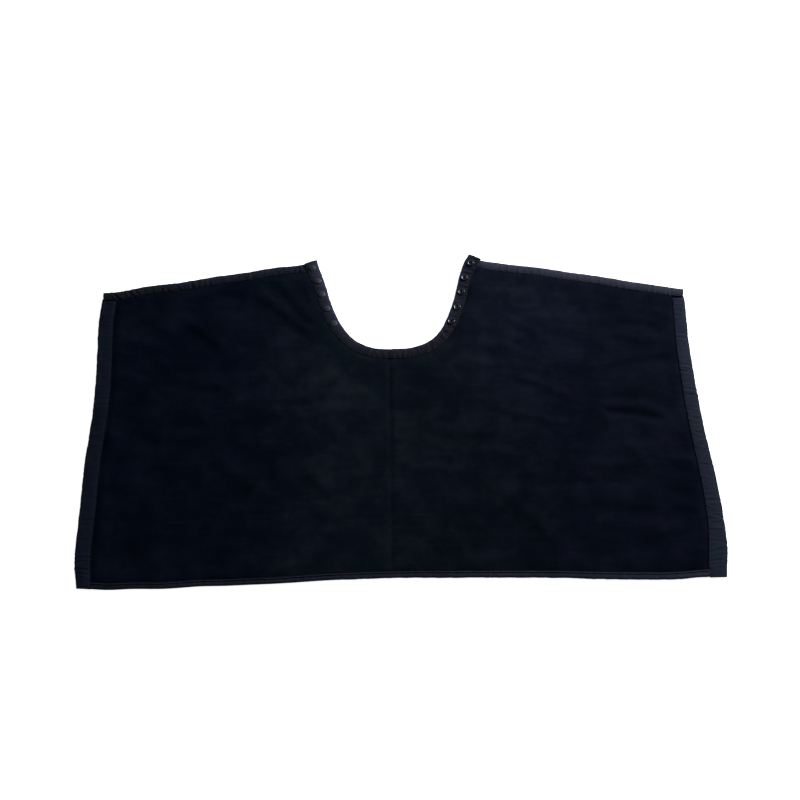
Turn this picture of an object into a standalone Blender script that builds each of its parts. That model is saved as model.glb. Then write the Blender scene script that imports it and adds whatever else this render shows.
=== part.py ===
"""Lead apron of the cape form, laid out flat with its outer face up.

A wide sheet with a U-shaped neck opening in its top edge. From the outer face down it is a
napped fabric cover, two plies of lead-loaded vinyl and a fabric lining, bound on every edge
by folded tape. Five press studs on each arm of the neck close it behind the wearer's neck:
enamelled caps with studs under them on one arm, sockets with prong rings on the other.

The sheet folds at its middle and at two lines nearer its sides, so each layer is made in
four panels that meet at the fold lines.

Metres, +Z up. The origin is under the middle of the apron, +Y runs from the hem to the neck.
"""

import math

import bmesh
import bpy

# ---------------------------------------------------------------- driving dimensions
WIDTH = 0.980  # side to side, over the tape
LENGTH = 0.600  # hem to neck corners
SIDE_LENGTH = 0.540  # hem to the outer corner of each shoulder

NECK_HALF_WIDTH = 0.131  # at the neck corners
NECK_DEPTH = 0.182  # neck corners down to the bottom of the U
NECK_ARM_RUN = 0.107  # straight part of each arm of the U, along Y
NECK_ARM_LEAN = 0.033  # how far that part leans inwards
NECK_BOTTOM_PULL = 0.029  # roundness of the U at its bottom
NECK_ARM_PULL = 0.079  # roundness of the U where it leaves the arm
NECK_STEPS = 16  # chords in each half of the curve

FOLD_X = 0.264  # middle line to each side fold
CUT = 0.00015  # half the gap between the panels at a fold

EDGE_TAPE = 0.025  # visible width of the tape on the side edges
SHOULDER_TAPE = 0.018
NECK_TAPE = 0.020
HEM_TAPE = 0.010
TAPE_T = 0.0006  # thickness of the tape
GAP = 0.0003  # clearance between any two pieces

LINING_T = 0.0006
CORE_T = 0.0009
COVER_T = 0.0008
STAY_T = 0.0008  # stiffener behind the press studs
STAY_PAST = 0.011  # it ends this far past the last one, towards the bottom of the U
CORE_KEEP_BACK = 0.009  # the vinyl plies stop this far inside the tape's outer edge
CORE_CLEAR_OF_NECK = 0.023

STUDS = 5  # on each arm of the neck
STUD_FIRST = 0.012  # neck corner to the first one
STUD_PITCH = 0.0305
STUD_SETBACK = 0.010  # neck edge to the stud's centre

SOCKET_R = 0.0058
SOCKET_H = 0.0019
WELL_R = 0.0022  # the hole the stud snaps into
WELL_DEPTH = 0.0013
CAP_R = 0.0062
CAP_H = 0.0020
POST_R = 0.0015
FLANGE_R = 0.0055
FLANGE_T = 0.0008
NUB_R = 0.0019
CROWN_OUT = 0.0034
CROWN_IN = 0.0028
TURN_STEPS = 20

WING_AXIS_ABOVE = 0.003  # side fold axes above the outer face
CENTRE_AXIS_ABOVE = 0.015  # the middle fold closes over both folded wings

# ---------------------------------------------------------------- levels of the stack
HEM_Y = -LENGTH / 2
TOP_Y = LENGTH / 2
SIDE_TOP_Y = HEM_Y + SIDE_LENGTH

LINING_Z = TAPE_T + GAP
CORE_IN_Z = LINING_Z + LINING_T + GAP
CORE_OUT_Z = CORE_IN_Z + CORE_T + GAP
COVER_Z = CORE_OUT_Z + CORE_T + GAP
THICKNESS = COVER_Z + COVER_T + GAP + TAPE_T
STAY_Z = COVER_Z - GAP - STAY_T
FLANGE_Z = STAY_Z - GAP - FLANGE_T  # level of the flanges under the stay


# ---------------------------------------------------------------- plane geometry
def unit(a, b):
    dx, dy = b[0] - a[0], b[1] - a[1]
    size = math.hypot(dx, dy)
    return dx / size, dy / size


def meet(p, d, q, e):
    """Where the line through p along d meets the line through q along e."""
    cross = d[0] * e[1] - d[1] * e[0]
    t = ((q[0] - p[0]) * e[1] - (q[1] - p[1]) * e[0]) / cross
    return p[0] + d[0] * t, p[1] + d[1] * t


def beside(a, b, distance):
    """The line from a to b, moved to its left by distance: (point, direction)."""
    d = unit(a, b)
    return (a[0] - d[1] * distance, a[1] + d[0] * distance), d


def moved_line(points, distance):
    """An open line moved to its left by distance, with mitred corners."""
    lines = [beside(a, b, distance) for a, b in zip(points, points[1:])]
    ends = beside(points[-1], (points[-1][0] + lines[-1][1][0], points[-1][1] + lines[-1][1][1]), distance)
    inner = []
    for (p, d), (q, e) in zip(lines, lines[1:]):
        straight = abs(d[0] * e[1] - d[1] * e[0]) < 1e-9
        inner.append(q if straight else meet(p, d, q, e))
    return [lines[0][0], *inner, ends[0]]


def inset(outline, distance):
    """A closed outline, given anticlockwise, made smaller all round by distance."""
    n = len(outline)
    lines = [beside(outline[i], outline[(i + 1) % n], distance) for i in range(n)]
    made = []
    for i in range(n):
        (p, d), (q, e) = lines[i - 1], lines[i]
        straight = abs(d[0] * e[1] - d[1] * e[0]) < 1e-9
        made.append(q if straight else meet(p, d, q, e))
    return made


def clip(outline, keep_above, x):
    """The part of a closed outline on one side of the line X = x."""
    sign = 1 if keep_above else -1
    made = []
    for i, b in enumerate(outline):
        a = outline[i - 1]
        inside_a, inside_b = sign * (a[0] - x) >= 0, sign * (b[0] - x) >= 0
        if inside_a != inside_b:
            t = (x - a[0]) / (b[0] - a[0])
            made.append((x, a[1] + t * (b[1] - a[1])))
        if inside_b:
            made.append(b)
    return made


def strip(outline, low, high):
    return clip(clip(outline, True, low), False, high)


def mirrored(outline):
    return [(-x, y) for x, y in reversed(outline)]


def bezier(p0, p1, p2, p3, steps):
    made = []
    for i in range(steps + 1):
        t = i / steps
        s = 1 - t
        made.append(
            tuple(
                s**3 * a + 3 * s * s * t * b + 3 * s * t * t * c + t**3 * d
                for a, b, c, d in zip(p0, p1, p2, p3)
            )
        )
    return made


# The right half of the neck edge, from the bottom of the U up to the neck corner.
NECK_BOTTOM = (0.0, TOP_Y - NECK_DEPTH)
NECK_CORNER = (NECK_HALF_WIDTH, TOP_Y)
ARM_FOOT = (NECK_HALF_WIDTH - NECK_ARM_LEAN, TOP_Y - NECK_ARM_RUN)
ARM_DIR = unit(ARM_FOOT, NECK_CORNER)
NECK_EDGE = bezier(
    NECK_BOTTOM,
    (NECK_BOTTOM_PULL, NECK_BOTTOM[1]),
    (ARM_FOOT[0] - ARM_DIR[0] * NECK_ARM_PULL, ARM_FOOT[1] - ARM_DIR[1] * NECK_ARM_PULL),
    ARM_FOOT,
    NECK_STEPS,
) + [NECK_CORNER]
OUTER_CORNER = (WIDTH / 2, SIDE_TOP_Y)

# The whole finished outline, anticlockwise.
FINISHED = (
    [(-WIDTH / 2, HEM_Y), (WIDTH / 2, HEM_Y), OUTER_CORNER]
    + NECK_EDGE[::-1]
    + mirrored(NECK_EDGE)[::-1][1:]
    + [(-WIDTH / 2, SIDE_TOP_Y)]
)
FINISHED = [p for i, p in enumerate(FINISHED) if math.dist(p, FINISHED[i - 1]) > 1e-9]

SHEET = inset(FINISHED, TAPE_T + GAP)  # cover and lining
POCKET = inset(FINISHED, TAPE_T)  # the space inside the folded tape

PANELS = {
    "left_wing": (-1.0, -FOLD_X - CUT),
    "left_front": (-FOLD_X + CUT, -CUT),
    "right_front": (CUT, FOLD_X - CUT),
    "right_wing": (FOLD_X + CUT, 1.0),
}


def neck_line(distance):
    """The right half of the neck edge moved outwards into the sheet, and up to the shoulder."""
    line = [(-x, y) for x, y in NECK_EDGE]  # mirrored, so that the sheet is on its left
    line = [(-x, y) for x, y in moved_line(line, distance)]
    top = meet(line[-2], ARM_DIR, NECK_CORNER, unit(NECK_CORNER, OUTER_CORNER))
    return line[:-1] + [top]


def core_outline():
    """One whole vinyl ply: back from the edges, and further back from the press studs."""
    low = HEM_Y + CORE_KEEP_BACK
    side = WIDTH / 2 - CORE_KEEP_BACK
    neck = neck_line(CORE_CLEAR_OF_NECK)
    p, d = beside(OUTER_CORNER, NECK_CORNER, CORE_KEEP_BACK)
    top = meet(p, d, neck[-2], ARM_DIR)
    shoulder = meet(p, d, (side, 0.0), (0.0, 1.0))
    right = [(side, low), shoulder, top] + neck[-2::-1]
    right = [q for q in right if q[0] > 1e-6 or q is right[-1]]
    return right[:-1] + [(0.0, neck[0][1])] + [(-x, y) for x, y in right[:-1][::-1]]


def stud_places():
    """Centres of the press studs on the right arm, from the neck corner down."""
    line = NECK_EDGE[::-1]
    places = []
    for i in range(STUDS):
        left = STUD_FIRST + i * STUD_PITCH
        for a, b in zip(line, line[1:]):
            size = math.dist(a, b)
            if left <= size:
                d = unit(a, b)
                x, y = a[0] + d[0] * left, a[1] + d[1] * left
                places.append((x - d[1] * STUD_SETBACK, y + d[0] * STUD_SETBACK))
                break
            left -= size
    return places


STUDS_RIGHT = stud_places()
STUDS_LEFT = [(-x, y) for x, y in STUDS_RIGHT]

# ---------------------------------------------------------------- scene
for old in list(bpy.data.objects):
    bpy.data.objects.remove(old, do_unlink=True)

parts = bpy.data.collections.new("lead_apron")
cutters = bpy.data.collections.new("cutters")
for collection in (parts, cutters):
    bpy.context.scene.collection.children.link(collection)


def material(name, colour, roughness, metallic=0.0):
    made = bpy.data.materials.new(name)
    made.use_nodes = True
    shader = next(n for n in made.node_tree.nodes if n.type == "BSDF_PRINCIPLED")
    shader.inputs["Base Color"].default_value = (*colour, 1.0)
    shader.inputs["Roughness"].default_value = roughness
    shader.inputs["Metallic"].default_value = metallic
    return made


NAPPED = material("napped_cover", (0.006, 0.010, 0.020), 0.95)
LINING = material("lining_cloth", (0.010, 0.013, 0.022), 0.85)
VINYL = material("lead_vinyl", (0.090, 0.095, 0.100), 0.60)
TAPE = material("binding_tape", (0.018, 0.022, 0.035), 0.80)
STAY = material("stay_cloth", (0.250, 0.250, 0.240), 0.90)
STEEL = material("snap_steel", (0.300, 0.310, 0.330), 0.30, 1.0)
ENAMEL = material("snap_enamel", (0.040, 0.044, 0.052), 0.35, 0.4)

PIVOTS = {}


def pivot(body, at, parent=None):
    empty = bpy.data.objects.new("pivot_" + body, None)
    empty.empty_display_size = 0.03
    parts.objects.link(empty)
    base = (0.0, 0.0, 0.0)
    if parent:
        empty.parent = PIVOTS[parent][0]
        base = PIVOTS[parent][1]
    empty.location = [a - b for a, b in zip(at, base)]
    PIVOTS[body] = (empty, at)


wing_axis_z = THICKNESS + WING_AXIS_ABOVE
centre_axis_z = THICKNESS + CENTRE_AXIS_ABOVE
pivot("right_front", (0.0, 0.0, 0.0))
pivot("left_front", (0.0, 0.0, centre_axis_z), "right_front")
pivot("left_wing", (-FOLD_X, 0.0, wing_axis_z), "left_front")
pivot("right_wing", (FOLD_X, 0.0, wing_axis_z), "right_front")


def place(obj, body, at):
    empty, base = PIVOTS[body]
    obj.parent = empty
    obj.location = [a - b for a, b in zip(at, base)]


def ring(x, y, radius, steps):
    return [
        (x + radius * math.cos(2 * math.pi * i / steps), y + radius * math.sin(2 * math.pi * i / steps))
        for i in range(steps)
    ]


def flat_curve(name, outline, low, high, holes=()):
    """A flat outline extruded between two levels, with round holes."""
    data = bpy.data.curves.new(name, "CURVE")
    data.dimensions = "2D"
    data.fill_mode = "BOTH"
    data.extrude = (high - low) / 2
    for loop in [outline] + [ring(x, y, r, TURN_STEPS) for x, y, r in holes]:
        spline = data.splines.new("POLY")
        spline.points.add(len(loop) - 1)
        for point, (x, y) in zip(spline.points, loop):
            point.co = (x, y, 0.0, 1.0)
        spline.use_cyclic_u = True
    return bpy.data.objects.new(name, data)


def plate(name, body, outline, low, high, look, holes=()):
    obj = flat_curve(name, outline, low, high, holes)
    obj.data.materials.append(look)
    parts.objects.link(obj)
    place(obj, body, (0.0, 0.0, (low + high) / 2))
    return obj


def as_mesh(curve, collection, at):
    """The curve's solid as a mesh object with its caps welded, in the curve's place."""
    collection.objects.link(curve)
    curve.location = at
    bpy.context.view_layer.update()
    graph = bpy.context.evaluated_depsgraph_get()
    data = bpy.data.meshes.new_from_object(curve.evaluated_get(graph))
    matrix, name = curve.matrix_world.copy(), curve.name
    bpy.data.objects.remove(curve, do_unlink=True)
    work = bmesh.new()
    work.from_mesh(data)
    bmesh.ops.remove_doubles(work, verts=work.verts, dist=1e-6)
    bmesh.ops.recalc_face_normals(work, faces=work.faces)
    work.to_mesh(data)
    work.free()
    data.name = name
    obj = bpy.data.objects.new(name, data)
    collection.objects.link(obj)
    obj.matrix_world = matrix
    return obj


def hide(obj):
    obj.hide_render = True
    obj.display_type = "WIRE"


pocket = as_mesh(
    flat_curve("tape_pocket", POCKET, TAPE_T, THICKNESS - TAPE_T), cutters, (0.0, 0.0, THICKNESS / 2)
)
hide(pocket)


def hole_cutter(name, places, top_radius, foot_radius):
    """Stepped holes: narrow through the outer layers, wide through the ones underneath."""
    work = bmesh.new()
    middle = (COVER_Z + LINING_Z + LINING_T) / 2
    for x, y in places:
        for radius, low, high in ((foot_radius, -0.002, middle - 0.0004), (top_radius, middle + 0.0004, THICKNESS + 0.002)):
            made = bmesh.ops.create_cone(
                work, cap_ends=True, segments=TURN_STEPS, radius1=radius, radius2=radius, depth=high - low
            )
            bmesh.ops.translate(work, verts=made["verts"], vec=(x, y, (low + high) / 2))
    data = bpy.data.meshes.new(name)
    work.to_mesh(data)
    work.free()
    obj = bpy.data.objects.new(name, data)
    cutters.objects.link(obj)
    hide(obj)
    return obj


FOOT_HOLE = FLANGE_R + 0.0006
holes_left = hole_cutter("stud_holes_left", STUDS_LEFT, POST_R + 0.0005, FOOT_HOLE)
holes_right = hole_cutter("stud_holes_right", STUDS_RIGHT, CROWN_OUT + 0.0005, FOOT_HOLE)


def cut(obj, cutter, name):
    modifier = obj.modifiers.new(name, "BOOLEAN")
    modifier.operation = "DIFFERENCE"
    modifier.object = cutter
    modifier.solver = "EXACT"


def tape(name, body, outline, holes=None):
    """Tape folded round an edge: a band of the full thickness with the pocket taken out."""
    obj = as_mesh(flat_curve(name, outline, 0.0, THICKNESS), parts, (0.0, 0.0, THICKNESS / 2))
    obj.data.materials.append(TAPE)
    place(obj, body, (0.0, 0.0, THICKNESS / 2))
    cut(obj, pocket, "fold")
    if holes:
        cut(obj, holes, "stud_holes")
    return obj


# ---------------------------------------------------------------- layers
def stud_holes(body, radius_left, radius_right):
    if body == "left_front":
        return [(x, y, radius_left) for x, y in STUDS_LEFT]
    if body == "right_front":
        return [(x, y, radius_right) for x, y in STUDS_RIGHT]
    return []


CORE = core_outline()
for body, (low, high) in PANELS.items():
    plate(
        "cover_" + body, body, strip(SHEET, low, high), COVER_Z, COVER_Z + COVER_T, NAPPED,
        stud_holes(body, POST_R + 0.0005, CROWN_OUT + 0.0005),
    )
    plate("lead_vinyl_outer_" + body, body, strip(CORE, low, high), CORE_OUT_Z, CORE_OUT_Z + CORE_T, VINYL)
    plate("lead_vinyl_inner_" + body, body, strip(CORE, low, high), CORE_IN_Z, CORE_IN_Z + CORE_T, VINYL)
    plate(
        "lining_" + body, body, strip(SHEET, low, high), LINING_Z, LINING_Z + LINING_T, LINING,
        stud_holes(body, FOOT_HOLE, FOOT_HOLE),
    )

# ---------------------------------------------------------------- stay behind the press studs
near, far = neck_line(0.0015), neck_line(NECK_TAPE - 0.001)


def below_shoulder(line, clearance):
    """The line with its top end moved back from the shoulder edge."""
    p, d = beside(OUTER_CORNER, NECK_CORNER, clearance)
    return line[:-1] + [meet(line[-2], ARM_DIR, p, d)]


near, far = below_shoulder(near, 0.0015), below_shoulder(far, 0.0015)
stay_right = clip(near + far[::-1], True, STUDS_RIGHT[-1][0] - STAY_PAST)
for body, outline, places, radius in (
    ("left_front", mirrored(stay_right), STUDS_LEFT, POST_R + 0.0005),
    ("right_front", stay_right, STUDS_RIGHT, CROWN_OUT + 0.0005),
):
    plate(
        "neck_stay_" + body.split("_")[0], body, outline, STAY_Z, STAY_Z + STAY_T, STAY,
        [(x, y, radius) for x, y in places],
    )

# ---------------------------------------------------------------- binding tape
neck_far = neck_line(NECK_TAPE)
neck_band = clip(NECK_EDGE + neck_far[::-1], True, CUT)
tape("neck_tape_right", "right_front", neck_band, holes_right)
tape("neck_tape_left", "left_front", mirrored(neck_band), holes_left)

beyond_neck = neck_line(NECK_TAPE + GAP)
shoulder_low, shoulder_dir = beside(OUTER_CORNER, NECK_CORNER, SHOULDER_TAPE)
side_x = WIDTH / 2
shoulder_band = [
    beyond_neck[-1],
    meet(shoulder_low, shoulder_dir, beyond_neck[-2], ARM_DIR),
    meet(shoulder_low, shoulder_dir, (side_x, 0.0), (0.0, 1.0)),
    OUTER_CORNER,
]
edge_top, edge_dir = beside(OUTER_CORNER, NECK_CORNER, SHOULDER_TAPE + GAP)
edge_band = [
    (side_x - EDGE_TAPE, HEM_Y),
    (side_x, HEM_Y),
    meet(edge_top, edge_dir, (side_x, 0.0), (0.0, 1.0)),
    meet(edge_top, edge_dir, (side_x - EDGE_TAPE, 0.0), (0.0, 1.0)),
]
hem_x = side_x - EDGE_TAPE - GAP
hem_band = [(-hem_x, HEM_Y), (hem_x, HEM_Y), (hem_x, HEM_Y + HEM_TAPE), (-hem_x, HEM_Y + HEM_TAPE)]

for side in ("left", "right"):
    flip = mirrored if side == "left" else list
    tape("side_tape_" + side, side + "_wing", flip(edge_band))
    for part in ("front", "wing"):
        body = side + "_" + part
        low, high = PANELS[body]
        tape("shoulder_tape_" + body, body, strip(flip(shoulder_band), low, high))
        tape("hem_tape_" + body, body, strip(hem_band, low, high))


# ---------------------------------------------------------------- press studs
def turned(name, profile):
    """A mesh profile in the XZ plane for a Screw to turn; its first and last points may lie on the axis."""
    data = bpy.data.meshes.new(name)
    data.from_pydata([(x, 0.0, z) for x, z in profile], [(i, i + 1) for i in range(len(profile) - 1)], [])
    return data


def turn(name, body, data, at, look):
    obj = bpy.data.objects.new(name, data)
    parts.objects.link(obj)
    place(obj, body, at)
    screw = obj.modifiers.new("turn", "SCREW")
    screw.axis = "Z"
    screw.steps = screw.render_steps = TURN_STEPS
    screw.use_merge_vertices = True
    screw.merge_threshold = 0.00001
    screw.use_smooth_shade = True
    if not data.materials:
        data.materials.append(look)
    return obj


def closed(profile):
    return profile + [profile[0]]


def rounded(radius_in, radius_out, low, high, bulge, steps=4):
    """Outer side of a raised ring, from its top inner lip over the crown and down."""
    middle, half = (radius_in + radius_out) / 2, (radius_out - radius_in) / 2
    made = []
    for i in range(2 * steps + 1):
        angle = math.pi * (1 - i / (2 * steps))
        made.append((middle + half * math.cos(angle), low + bulge + (high - low - bulge) * math.sin(angle)))
    return made


# Socket: a low ring with a well for the stud, and a prong ring under the layers whose crown
# comes up through them.
socket_profile = (
    [(0.0, SOCKET_H - WELL_DEPTH), (WELL_R, SOCKET_H - WELL_DEPTH)]
    + rounded(WELL_R, SOCKET_R, 0.0, SOCKET_H, 0.0006)
    + [(SOCKET_R - 0.0004, 0.0), (0.0, 0.0)]
)
ring_top = THICKNESS - FLANGE_Z
ring_profile = closed(
    [
        (CROWN_IN, ring_top),
        (CROWN_OUT, ring_top),
        (CROWN_OUT, FLANGE_T),
        (FLANGE_R - 0.0003, FLANGE_T),
        (FLANGE_R, FLANGE_T * 0.5),
        (FLANGE_R - 0.0003, 0.0),
        (CROWN_IN, 0.0),
    ]
)
# Cap: a low dome with a post down through the layers, and a stud with a bulged nub under it.
dome_steps = 5
cap_profile = [
    (CAP_R * math.sin(0.5 * math.pi * i / dome_steps), 0.0005 + (CAP_H - 0.0005) * math.cos(0.5 * math.pi * i / dome_steps))
    for i in range(dome_steps + 1)
]
post_low = -(THICKNESS + GAP) + FLANGE_Z + FLANGE_T + GAP
cap_profile += [(CAP_R - 0.0004, 0.0), (POST_R, 0.0), (POST_R, post_low), (0.0, post_low)]
nub_h = FLANGE_Z - 0.0003
stud_profile = [
    (0.0, FLANGE_T),
    (FLANGE_R - 0.0003, FLANGE_T),
    (FLANGE_R, FLANGE_T * 0.5),
    (FLANGE_R - 0.0003, 0.0),
    (NUB_R * 0.8, 0.0),
    (NUB_R, -nub_h * 0.55),
    (NUB_R * 0.9, -nub_h * 0.85),
    (NUB_R * 0.55, -nub_h),
    (0.0, -nub_h),
]
meshes = {
    "socket": turned("socket", socket_profile),
    "socket_ring": turned("socket_ring", ring_profile),
    "cap": turned("cap", cap_profile),
    "stud": turned("stud", stud_profile),
}
for i, ((xr, yr), (xl, yl)) in enumerate(zip(STUDS_RIGHT, STUDS_LEFT), 1):
    turn(f"socket_{i}", "right_front", meshes["socket"], (xr, yr, THICKNESS + GAP), STEEL)
    turn(f"socket_ring_{i}", "right_front", meshes["socket_ring"], (xr, yr, FLANGE_Z), STEEL)
    turn(f"snap_cap_{i}", "left_front", meshes["cap"], (xl, yl, THICKNESS + GAP), ENAMEL)
    turn(f"snap_stud_{i}", "left_front", meshes["stud"], (xl, yl, FLANGE_Z), STEEL)
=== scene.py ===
"""Looks of the lead apron: the cape laid flat with its outer face up.

The sheet's plan is the CAD's: 0.98 m wide, 0.60 m from the hem to the neck corners, with a
U-shaped neck. Every layer is made on that plan first, then moved by lay(), which holds how
this one lies on the table, and raised by rise(), which holds how far the stack stands off it.
A cloth simulation settles the outer layers' ripples and folds. The layers that cross a fold
line are made as three pieces that meet at SEAM_X.
"""

import math

import bpy
import numpy as np
from mathutils import Matrix, Vector


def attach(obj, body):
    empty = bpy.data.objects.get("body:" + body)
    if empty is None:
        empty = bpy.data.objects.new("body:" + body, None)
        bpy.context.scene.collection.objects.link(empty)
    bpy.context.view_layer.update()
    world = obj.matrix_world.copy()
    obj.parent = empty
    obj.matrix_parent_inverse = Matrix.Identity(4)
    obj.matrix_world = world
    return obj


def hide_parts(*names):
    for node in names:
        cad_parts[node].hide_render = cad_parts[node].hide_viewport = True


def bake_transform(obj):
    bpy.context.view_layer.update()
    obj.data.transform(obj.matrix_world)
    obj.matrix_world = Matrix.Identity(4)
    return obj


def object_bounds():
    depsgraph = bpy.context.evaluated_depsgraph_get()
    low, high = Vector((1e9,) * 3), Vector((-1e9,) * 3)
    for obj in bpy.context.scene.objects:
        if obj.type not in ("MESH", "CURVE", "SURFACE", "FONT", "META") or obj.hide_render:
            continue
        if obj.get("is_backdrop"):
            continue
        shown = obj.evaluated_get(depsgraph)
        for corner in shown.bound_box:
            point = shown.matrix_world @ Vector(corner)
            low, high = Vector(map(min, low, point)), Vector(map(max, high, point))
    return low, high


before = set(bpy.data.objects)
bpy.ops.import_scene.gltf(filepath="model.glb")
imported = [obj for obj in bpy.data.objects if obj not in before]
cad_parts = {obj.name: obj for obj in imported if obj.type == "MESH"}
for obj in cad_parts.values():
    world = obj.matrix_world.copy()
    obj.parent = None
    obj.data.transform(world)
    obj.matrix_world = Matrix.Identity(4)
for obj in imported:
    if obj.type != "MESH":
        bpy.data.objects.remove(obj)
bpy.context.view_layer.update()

MM = 0.001

# ------------------------------------------------------------------ plan of the cloth
SIDE_X = 0.490
HEM_Y = -0.300
TOP_Y = 0.300
SIDE_TOP_Y = 0.240
FOLD_X = 0.264
SEAM_X = 0.130
NECK_HALF = 0.131
NECK_BOTTOM_Y = 0.118
ARM_FOOT = (0.098, 0.193)

HEM_TAPE = 0.010
SHOULDER_TAPE = 0.018
NECK_TAPE = 0.020
SIDE_TAPE = 0.025

STUD_FIRST = 0.012
STUD_PITCH = 0.0305
STUD_SETBACK = 0.010


EDGE_TOP = 3.5 * MM  # top of the rolled outer edge of the tape
TAPE_TOP = 5.45 * MM  # top of the tape at its inner edge
TAPE_T = 0.60 * MM
TAPE_LOW = 0.12 * MM


def ramp(a, b, x):
    """0 before a, 1 after b, smooth between."""
    t = np.clip((x - a) / (b - a), 0, 1)
    return t * t * (3 - 2 * t)


def noise2(x, y, seed=0):
    """Smooth gradient noise, about -1 to 1, one feature per unit."""
    xi, yi = np.floor(x).astype(np.int64), np.floor(y).astype(np.int64)
    xf, yf = x - xi, y - yi
    u = xf**3 * (xf * (xf * 6 - 15) + 10)
    v = yf**3 * (yf * (yf * 6 - 15) + 10)

    def corner(i, j):
        ix, iy = xi + i, yi + j
        h = (ix * 374761393 + iy * 668265263 + seed * 1442695041) & 0xFFFFFFFF
        h = ((h ^ (h >> 13)) * 1274126177) & 0xFFFFFFFF
        a = ((h ^ (h >> 16)) & 0xFFFF) / 65536.0 * 2 * np.pi
        return np.cos(a) * (xf - i) + np.sin(a) * (yf - j)

    top = corner(0, 1) * (1 - u) + corner(1, 1) * u
    low = corner(0, 0) * (1 - u) + corner(1, 0) * u
    return (low * (1 - v) + top * v) * 1.45


def neck_half_line(steps=64):
    """The right half of the neck edge, from the bottom of the U to the neck corner."""
    foot, corner = np.array(ARM_FOOT), np.array((NECK_HALF, TOP_Y))
    along = (corner - foot) / np.linalg.norm(corner - foot)
    a, b = np.array((0.0, NECK_BOTTOM_Y)), np.array((0.029, NECK_BOTTOM_Y))
    c = foot - along * 0.079
    t = np.linspace(0, 1, steps + 1)[:, None]
    curve = (1 - t) ** 3 * a + 3 * (1 - t) ** 2 * t * b + 3 * (1 - t) * t**2 * c + t**3 * foot
    arm = foot + (corner - foot) * np.linspace(0, 1, 25)[1:, None]
    return np.concatenate([curve, arm])


HALF = neck_half_line()


class Edge:
    """One bound edge of the cloth: a line with the cloth on its left, and its tape's width."""

    def __init__(self, points, width, seed, spacing, height, width_end=None, seam_pull=1.0):
        p = np.array(points, float)
        step = np.linalg.norm(np.diff(p, axis=0), axis=1)
        self.s = np.concatenate([[0], np.cumsum(step)])
        self.p = p
        self.length = float(self.s[-1])
        t = np.gradient(p, self.s, axis=0)
        t /= np.linalg.norm(t, axis=1)[:, None]
        self.t = t
        self.w0, self.w1 = width, width if width_end is None else width_end
        self.seam_pull = seam_pull
        rng = np.random.default_rng(seed)
        places, at = [], -0.01
        while at < self.length + 0.01:
            at += rng.uniform(*spacing)
            places.append(at)
        n = len(places)
        self.k = np.array(places)
        self.k_high = rng.uniform(0.35, 1.0, n) * height
        self.k_wide = rng.uniform(0.0013, 0.0030, n)
        self.k_slant = rng.uniform(-0.45, 0.45, n)
        self.seed = seed
        self.flat_at = []
        self.rim = EDGE_TOP
        self.dip = 1.0

    def width(self, s):
        return self.w0 + (self.w1 - self.w0) * np.clip(s / self.length, 0, 1)

    def at(self, s):
        """Plan point and tangent at arc length s; straight on past either end."""
        q = np.clip(s, 0, self.length)
        x = np.interp(q, self.s, self.p[:, 0])
        y = np.interp(q, self.s, self.p[:, 1])
        tx = np.interp(q, self.s, self.t[:, 0])
        ty = np.interp(q, self.s, self.t[:, 1])
        size = np.hypot(tx, ty)
        tx, ty = tx / size, ty / size
        return x + tx * (s - q), y + ty * (s - q), tx, ty

    def plan(self, s, d):
        """Plan point d inside the edge at arc length s."""
        x, y, tx, ty = self.at(s)
        return x - ty * d, y + tx * d

    def pucker(self, s, d):
        """Height of the small gathers that the stitching pulls into the tape."""
        made = np.zeros(np.broadcast(s, d).shape)
        for k, high, wide, slant in zip(self.k, self.k_high, self.k_wide, self.k_slant):
            off = s - (k + slant * (d - 0.5 * self.w0))
            face = np.where(off < 0, 0.75 * wide, 1.25 * wide)
            made = made + high * (np.exp(-((off / face) ** 2)) - 0.55 * np.exp(-(((off - 2.0 * wide) / wide) ** 2)))
        for place in self.flat_at:
            made = made * (1 - 0.8 * np.exp(-(((s - place) / 0.0065) ** 2)))
        return made


OUT_R, OUT_L = (SIDE_X, SIDE_TOP_Y), (-SIDE_X, SIDE_TOP_Y)
NECK_R, NECK_L = (NECK_HALF, TOP_Y), (-NECK_HALF, TOP_Y)


def line(a, b, n=40):
    a, b = np.array(a, float), np.array(b, float)
    return a + (b - a) * np.linspace(0, 1, n + 1)[:, None]


NECK_LINE = np.concatenate([HALF[::-1], HALF[1:] * (-1, 1)])
EDGES = {
    "hem": Edge(line((-SIDE_X, HEM_Y), (SIDE_X, HEM_Y)), HEM_TAPE - 0.0015, 11, (0.008, 0.020), 0.00022, HEM_TAPE + 0.0010),
    "side_right": Edge(line((SIDE_X, HEM_Y), OUT_R), 0.0262, 12, (0.005, 0.013), 0.00042, 0.0204),
    "shoulder_right": Edge(line(OUT_R, NECK_R), SHOULDER_TAPE, 13, (0.007, 0.018), 0.00045),
    "neck": Edge(NECK_LINE, NECK_TAPE, 14, (0.005, 0.012), 0.00062),
    "shoulder_left": Edge(line(NECK_L, OUT_L), SHOULDER_TAPE, 15, (0.006, 0.016), 0.00060),
    "side_left": Edge(line(OUT_L, (-SIDE_X, HEM_Y)), 0.0250, 16, (0.006, 0.018), 0.00036),
}
NECK = EDGES["neck"]
EDGES["hem"].rim = 4.9 * MM
for name, pull in (("hem", 0.06), ("shoulder_left", 0.55), ("neck", 0.60), ("side_left", 0.55)):
    EDGES[name].seam_pull = pull
for name, dip in (("hem", 0.0), ("shoulder_right", 0.22), ("shoulder_left", 0.08), ("neck", 0.05)):
    EDGES[name].dip = dip
STUDS_RIGHT = [STUD_FIRST + STUD_PITCH * i for i in range(5)]
STUDS_LEFT = [NECK.length - s for s in STUDS_RIGHT]
NECK.flat_at = STUDS_RIGHT + STUDS_LEFT


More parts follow.
